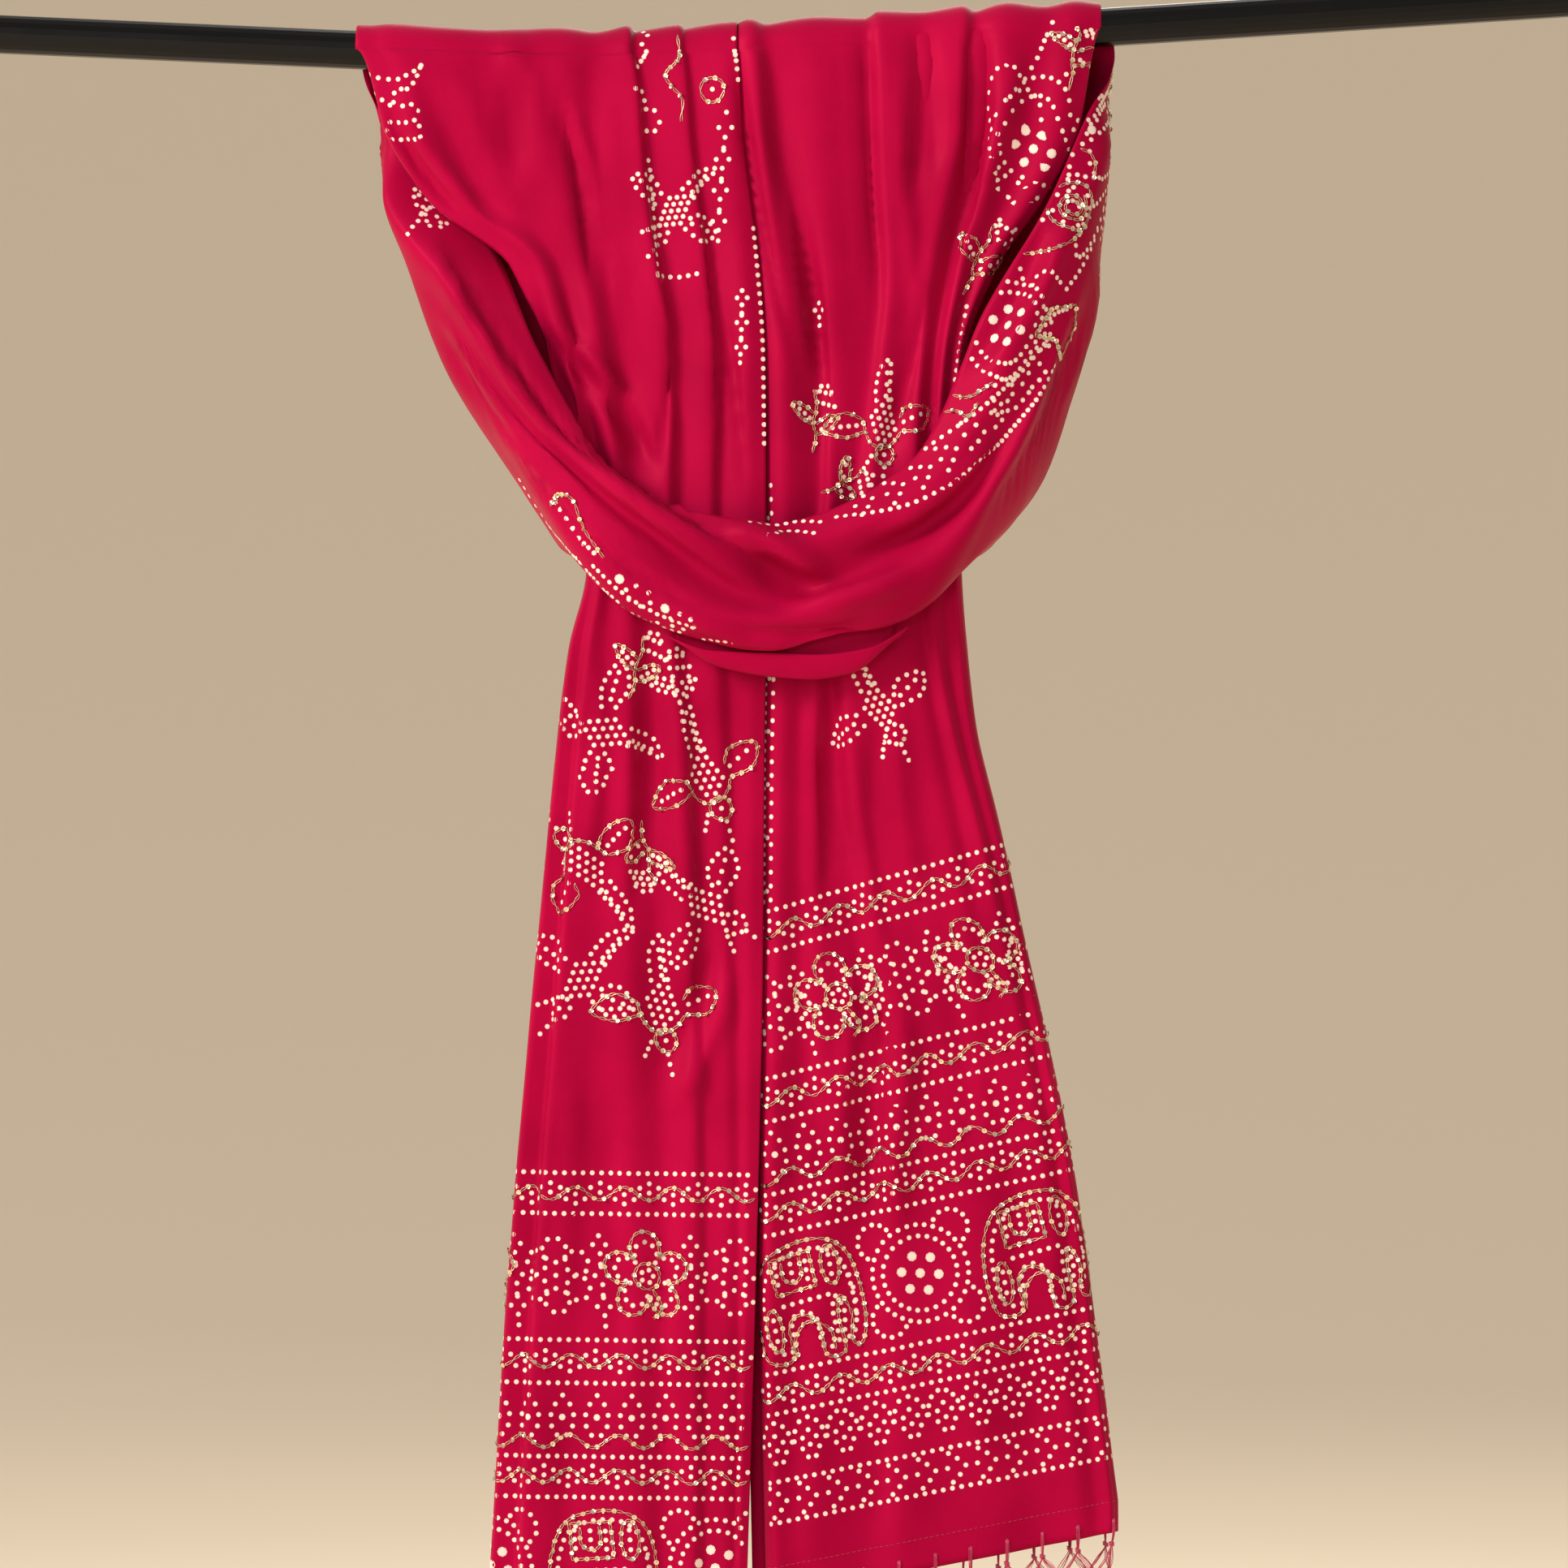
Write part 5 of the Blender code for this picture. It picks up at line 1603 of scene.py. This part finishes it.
class StoleSettings(bpy.types.PropertyGroup):
    """Colours and sizes of the stole that a user would change."""

    cloth_colour: colour_setting("Cloth", "Colour of the dyed satin", "#AE083E")
    cloth_shade: colour_setting("Cloth, deeper", "Colour of the satin's deeper dye", "#9A0435")
    print_colour: colour_setting("Print", "Colour of the printed dots", "#F6E3D6")
    zari_colour: colour_setting("Zari", "Colour of the metallic thread", "#CDB488")
    sequin_colour: colour_setting("Sequins", "Colour of the sequins", "#E8D3A8")
    floss_colour: colour_setting("Fringe", "Colour of the fringe", "#B5082E")
    floss_bright: colour_setting("Fringe, lighter", "Colour of its lighter strands", "#E0357A")
    sequin_radius: length_setting("Sequin radius", "Radius of a sequin", SEQUIN_RADIUS)
    thread_radius: length_setting("Zari radius", "Radius of a strand of zari", THREAD_RADIUS)
    tassel_tail: length_setting("Tassel tail", "Length of a tassel below its knot", TASSEL_TAIL)


class STOLE_OT_rod(bpy.types.Operator):
    """Gives the rod its enamel."""

    bl_idname = "stole.rod"
    bl_label = "Finish the rod"

    def execute(self, context):
        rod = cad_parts["rod"]
        rod.data.materials.clear()
        rod.data.materials.append(black_enamel())
        rod.data.shade_smooth()
        return {"FINISHED"}


class STOLE_OT_tails(bpy.types.Operator):
    """Makes the two tails, each one cloth from behind the rod to its hem's edge."""

    bl_idname = "stole.tails"
    bl_label = "Make the tails"

    def execute(self, context):
        looks = context.scene.stole
        satin = modal_satin(looks.cloth_colour, looks.cloth_shade)
        for side, folds, hem_level, hem_rise in TAILS:
            points = raise_tail(tail_points(folds, hem_level, hem_rise), folds)
            SHEETS[side] = tail_sheet(points, folds, hem_level)
            tail = cloth_shell(side + "_tail_cloth", points, satin)
            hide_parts(side + "_tail", side + "_hem")
            flat_size(points, WRAP_STEPS)
        return {"FINISHED"}


class STOLE_OT_loop(bpy.types.Operator):
    """Makes the stole's looped middle, with the fold that hangs under the swag."""

    bl_idname = "stole.loop"
    bl_label = "Make the loop"

    def execute(self, context):
        satin = bpy.data.materials["modal_satin_dyed_woven"]
        points = raise_loop(*loop_points())
        SHEETS["loop"] = loop_sheet(points)
        loop = cloth_shell("loop_cloth", points, satin)
        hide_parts("left_arm", "swag", "right_arm")
        flat_size(points)
        points = hanging_fold_points()
        fold = cloth_shell("swag_fold_cloth", points, satin)
        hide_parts("swag_fold")
        flat_size(points)
        return {"FINISHED"}


class STOLE_OT_print(bpy.types.Operator):
    """Prints the dots and sews the thread and the sequins on each cloth."""

    bl_idname = "stole.print"
    bl_label = "Print and embroider"

    def execute(self, context):
        looks = context.scene.stole
        dye, zari = printed_dye(looks.print_colour), zari_thread(looks.zari_colour)
        film = sequin_film(looks.sequin_colour)
        for key, lay_out in (("left", print_left_tail), ("right", print_right_tail),
                             ("loop", print_loop)):
            made = Print(SHEETS[key])
            lay_out(made)
            dots_mesh(key + "_printed_dots", made, dye)
            thread_mesh(key + "_zari_thread", made, zari, looks.thread_radius)
            sequin_mesh(key + "_sequins", made, film, looks.sequin_radius)
        return {"FINISHED"}


class STOLE_OT_fringe(bpy.types.Operator):
    """Sews the turned hems and ties the fringe."""

    bl_idname = "stole.fringe"
    bl_label = "Sew the hems and tie the fringe"

    def execute(self, context):
        looks = context.scene.stole
        floss = rayon_floss("rayon_floss_crimson", looks.floss_colour, looks.floss_bright)
        sewing = rayon_floss("sewing_thread_crimson", hex_colour("#8E0628"), hex_colour("#C2103F"))
        for side, _, hem_level, _ in TAILS:
            hem_stitches(side + "_hem_stitches", SHEETS[side], hem_level, sewing)
            fringe = fringe_mesh(side + "_knotted_fringe", SHEETS[side], hem_level, floss,
                                 looks.tassel_tail)
            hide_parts(side + "_fringe")
        return {"FINISHED"}


class STOLE_OT_stage(bpy.types.Operator):
    """Sets the floor, the soft lights and the camera."""

    bl_idname = "stole.stage"
    bl_label = "Set the stage"

    def execute(self, context):
        scene = context.scene
        level = CAD_BOX[0][2] - FLOOR_GAP
        verts = [(r * math.cos(t), r * math.sin(t), level + FLOOR_CURVE * max(0, r - FLOOR_FLAT)**2)
                 for r in FLOOR_RADII for t in turns(FLOOR_SIDES)]
        faces = [face[::-1] for face in ring_faces(len(FLOOR_RADII), FLOOR_SIDES)]
        faces.append(tuple(range(FLOOR_SIDES)))
        mesh_object("floor", verts, faces, matte_paper())
        world = bpy.data.worlds.new("soft_room")
        scene.world = world
        world.use_nodes = True
        background = world.node_tree.nodes["Background"]
        background.inputs["Color"].default_value = hex_colour("#E9E2D8")
        background.inputs["Strength"].default_value = WORLD_STRENGTH
        for name, place, size, power, colour in LIGHTS:
            data = bpy.data.lights.new(name, "AREA")
            data.size = size
            data.energy = power
            data.color = hex_colour(colour)[:3]
            lamp = new_object(name, data)
            lamp.location = place
            aim = Vector(CAMERA_AIM) - Vector(place)
            lamp.rotation_euler = aim.to_track_quat("-Z", "Y").to_euler()
        data = bpy.data.cameras.new("camera")
        data.lens = data.sensor_width * CAMERA_DISTANCE / (FRAME_SQUARES * GRID)
        data.clip_end = CAMERA_CLIP
        camera = new_object("camera", data)
        camera.location = Vector(CAMERA_AIM) - Vector((0, CAMERA_DISTANCE, 0))
        camera.rotation_euler = (math.pi / 2, 0, 0)
        scene.camera = camera
        scene.view_settings.view_transform = "Standard"
        return {"FINISHED"}


CLASSES = (
    StoleSettings,
    STOLE_OT_rod,
    STOLE_OT_tails,
    STOLE_OT_loop,
    STOLE_OT_print,
    STOLE_OT_fringe,
    STOLE_OT_stage,
)
STEPS = [kind.bl_idname for kind in CLASSES[1:]]


class STOLE_PT_panel(bpy.types.Panel):
    """Lists the stole's settings and steps."""

    bl_idname = "STOLE_PT_panel"
    bl_label = "Dupatta stole"
    bl_space_type = "VIEW_3D"
    bl_region_type = "UI"
    bl_category = "Stole"

    def draw(self, context):
        for key in StoleSettings.__annotations__:
            self.layout.prop(context.scene.stole, key)
        for step in STEPS:
            self.layout.operator(step)


def register():
    """Registers the classes and the settings."""
    for kind in (*CLASSES, STOLE_PT_panel):
        bpy.utils.register_class(kind)
    bpy.types.Scene.stole = bpy.props.PointerProperty(type=StoleSettings)


def unregister():
    """Takes the classes and the settings away again."""
    del bpy.types.Scene.stole
    for kind in reversed((*CLASSES, STOLE_PT_panel)):
        bpy.utils.unregister_class(kind)


def main():
    """Makes everything in order."""
    register()
    for step in STEPS:
        group, action = step.split(".")
        getattr(getattr(bpy.ops, group), action)()


if __name__ == "__main__":
    main()
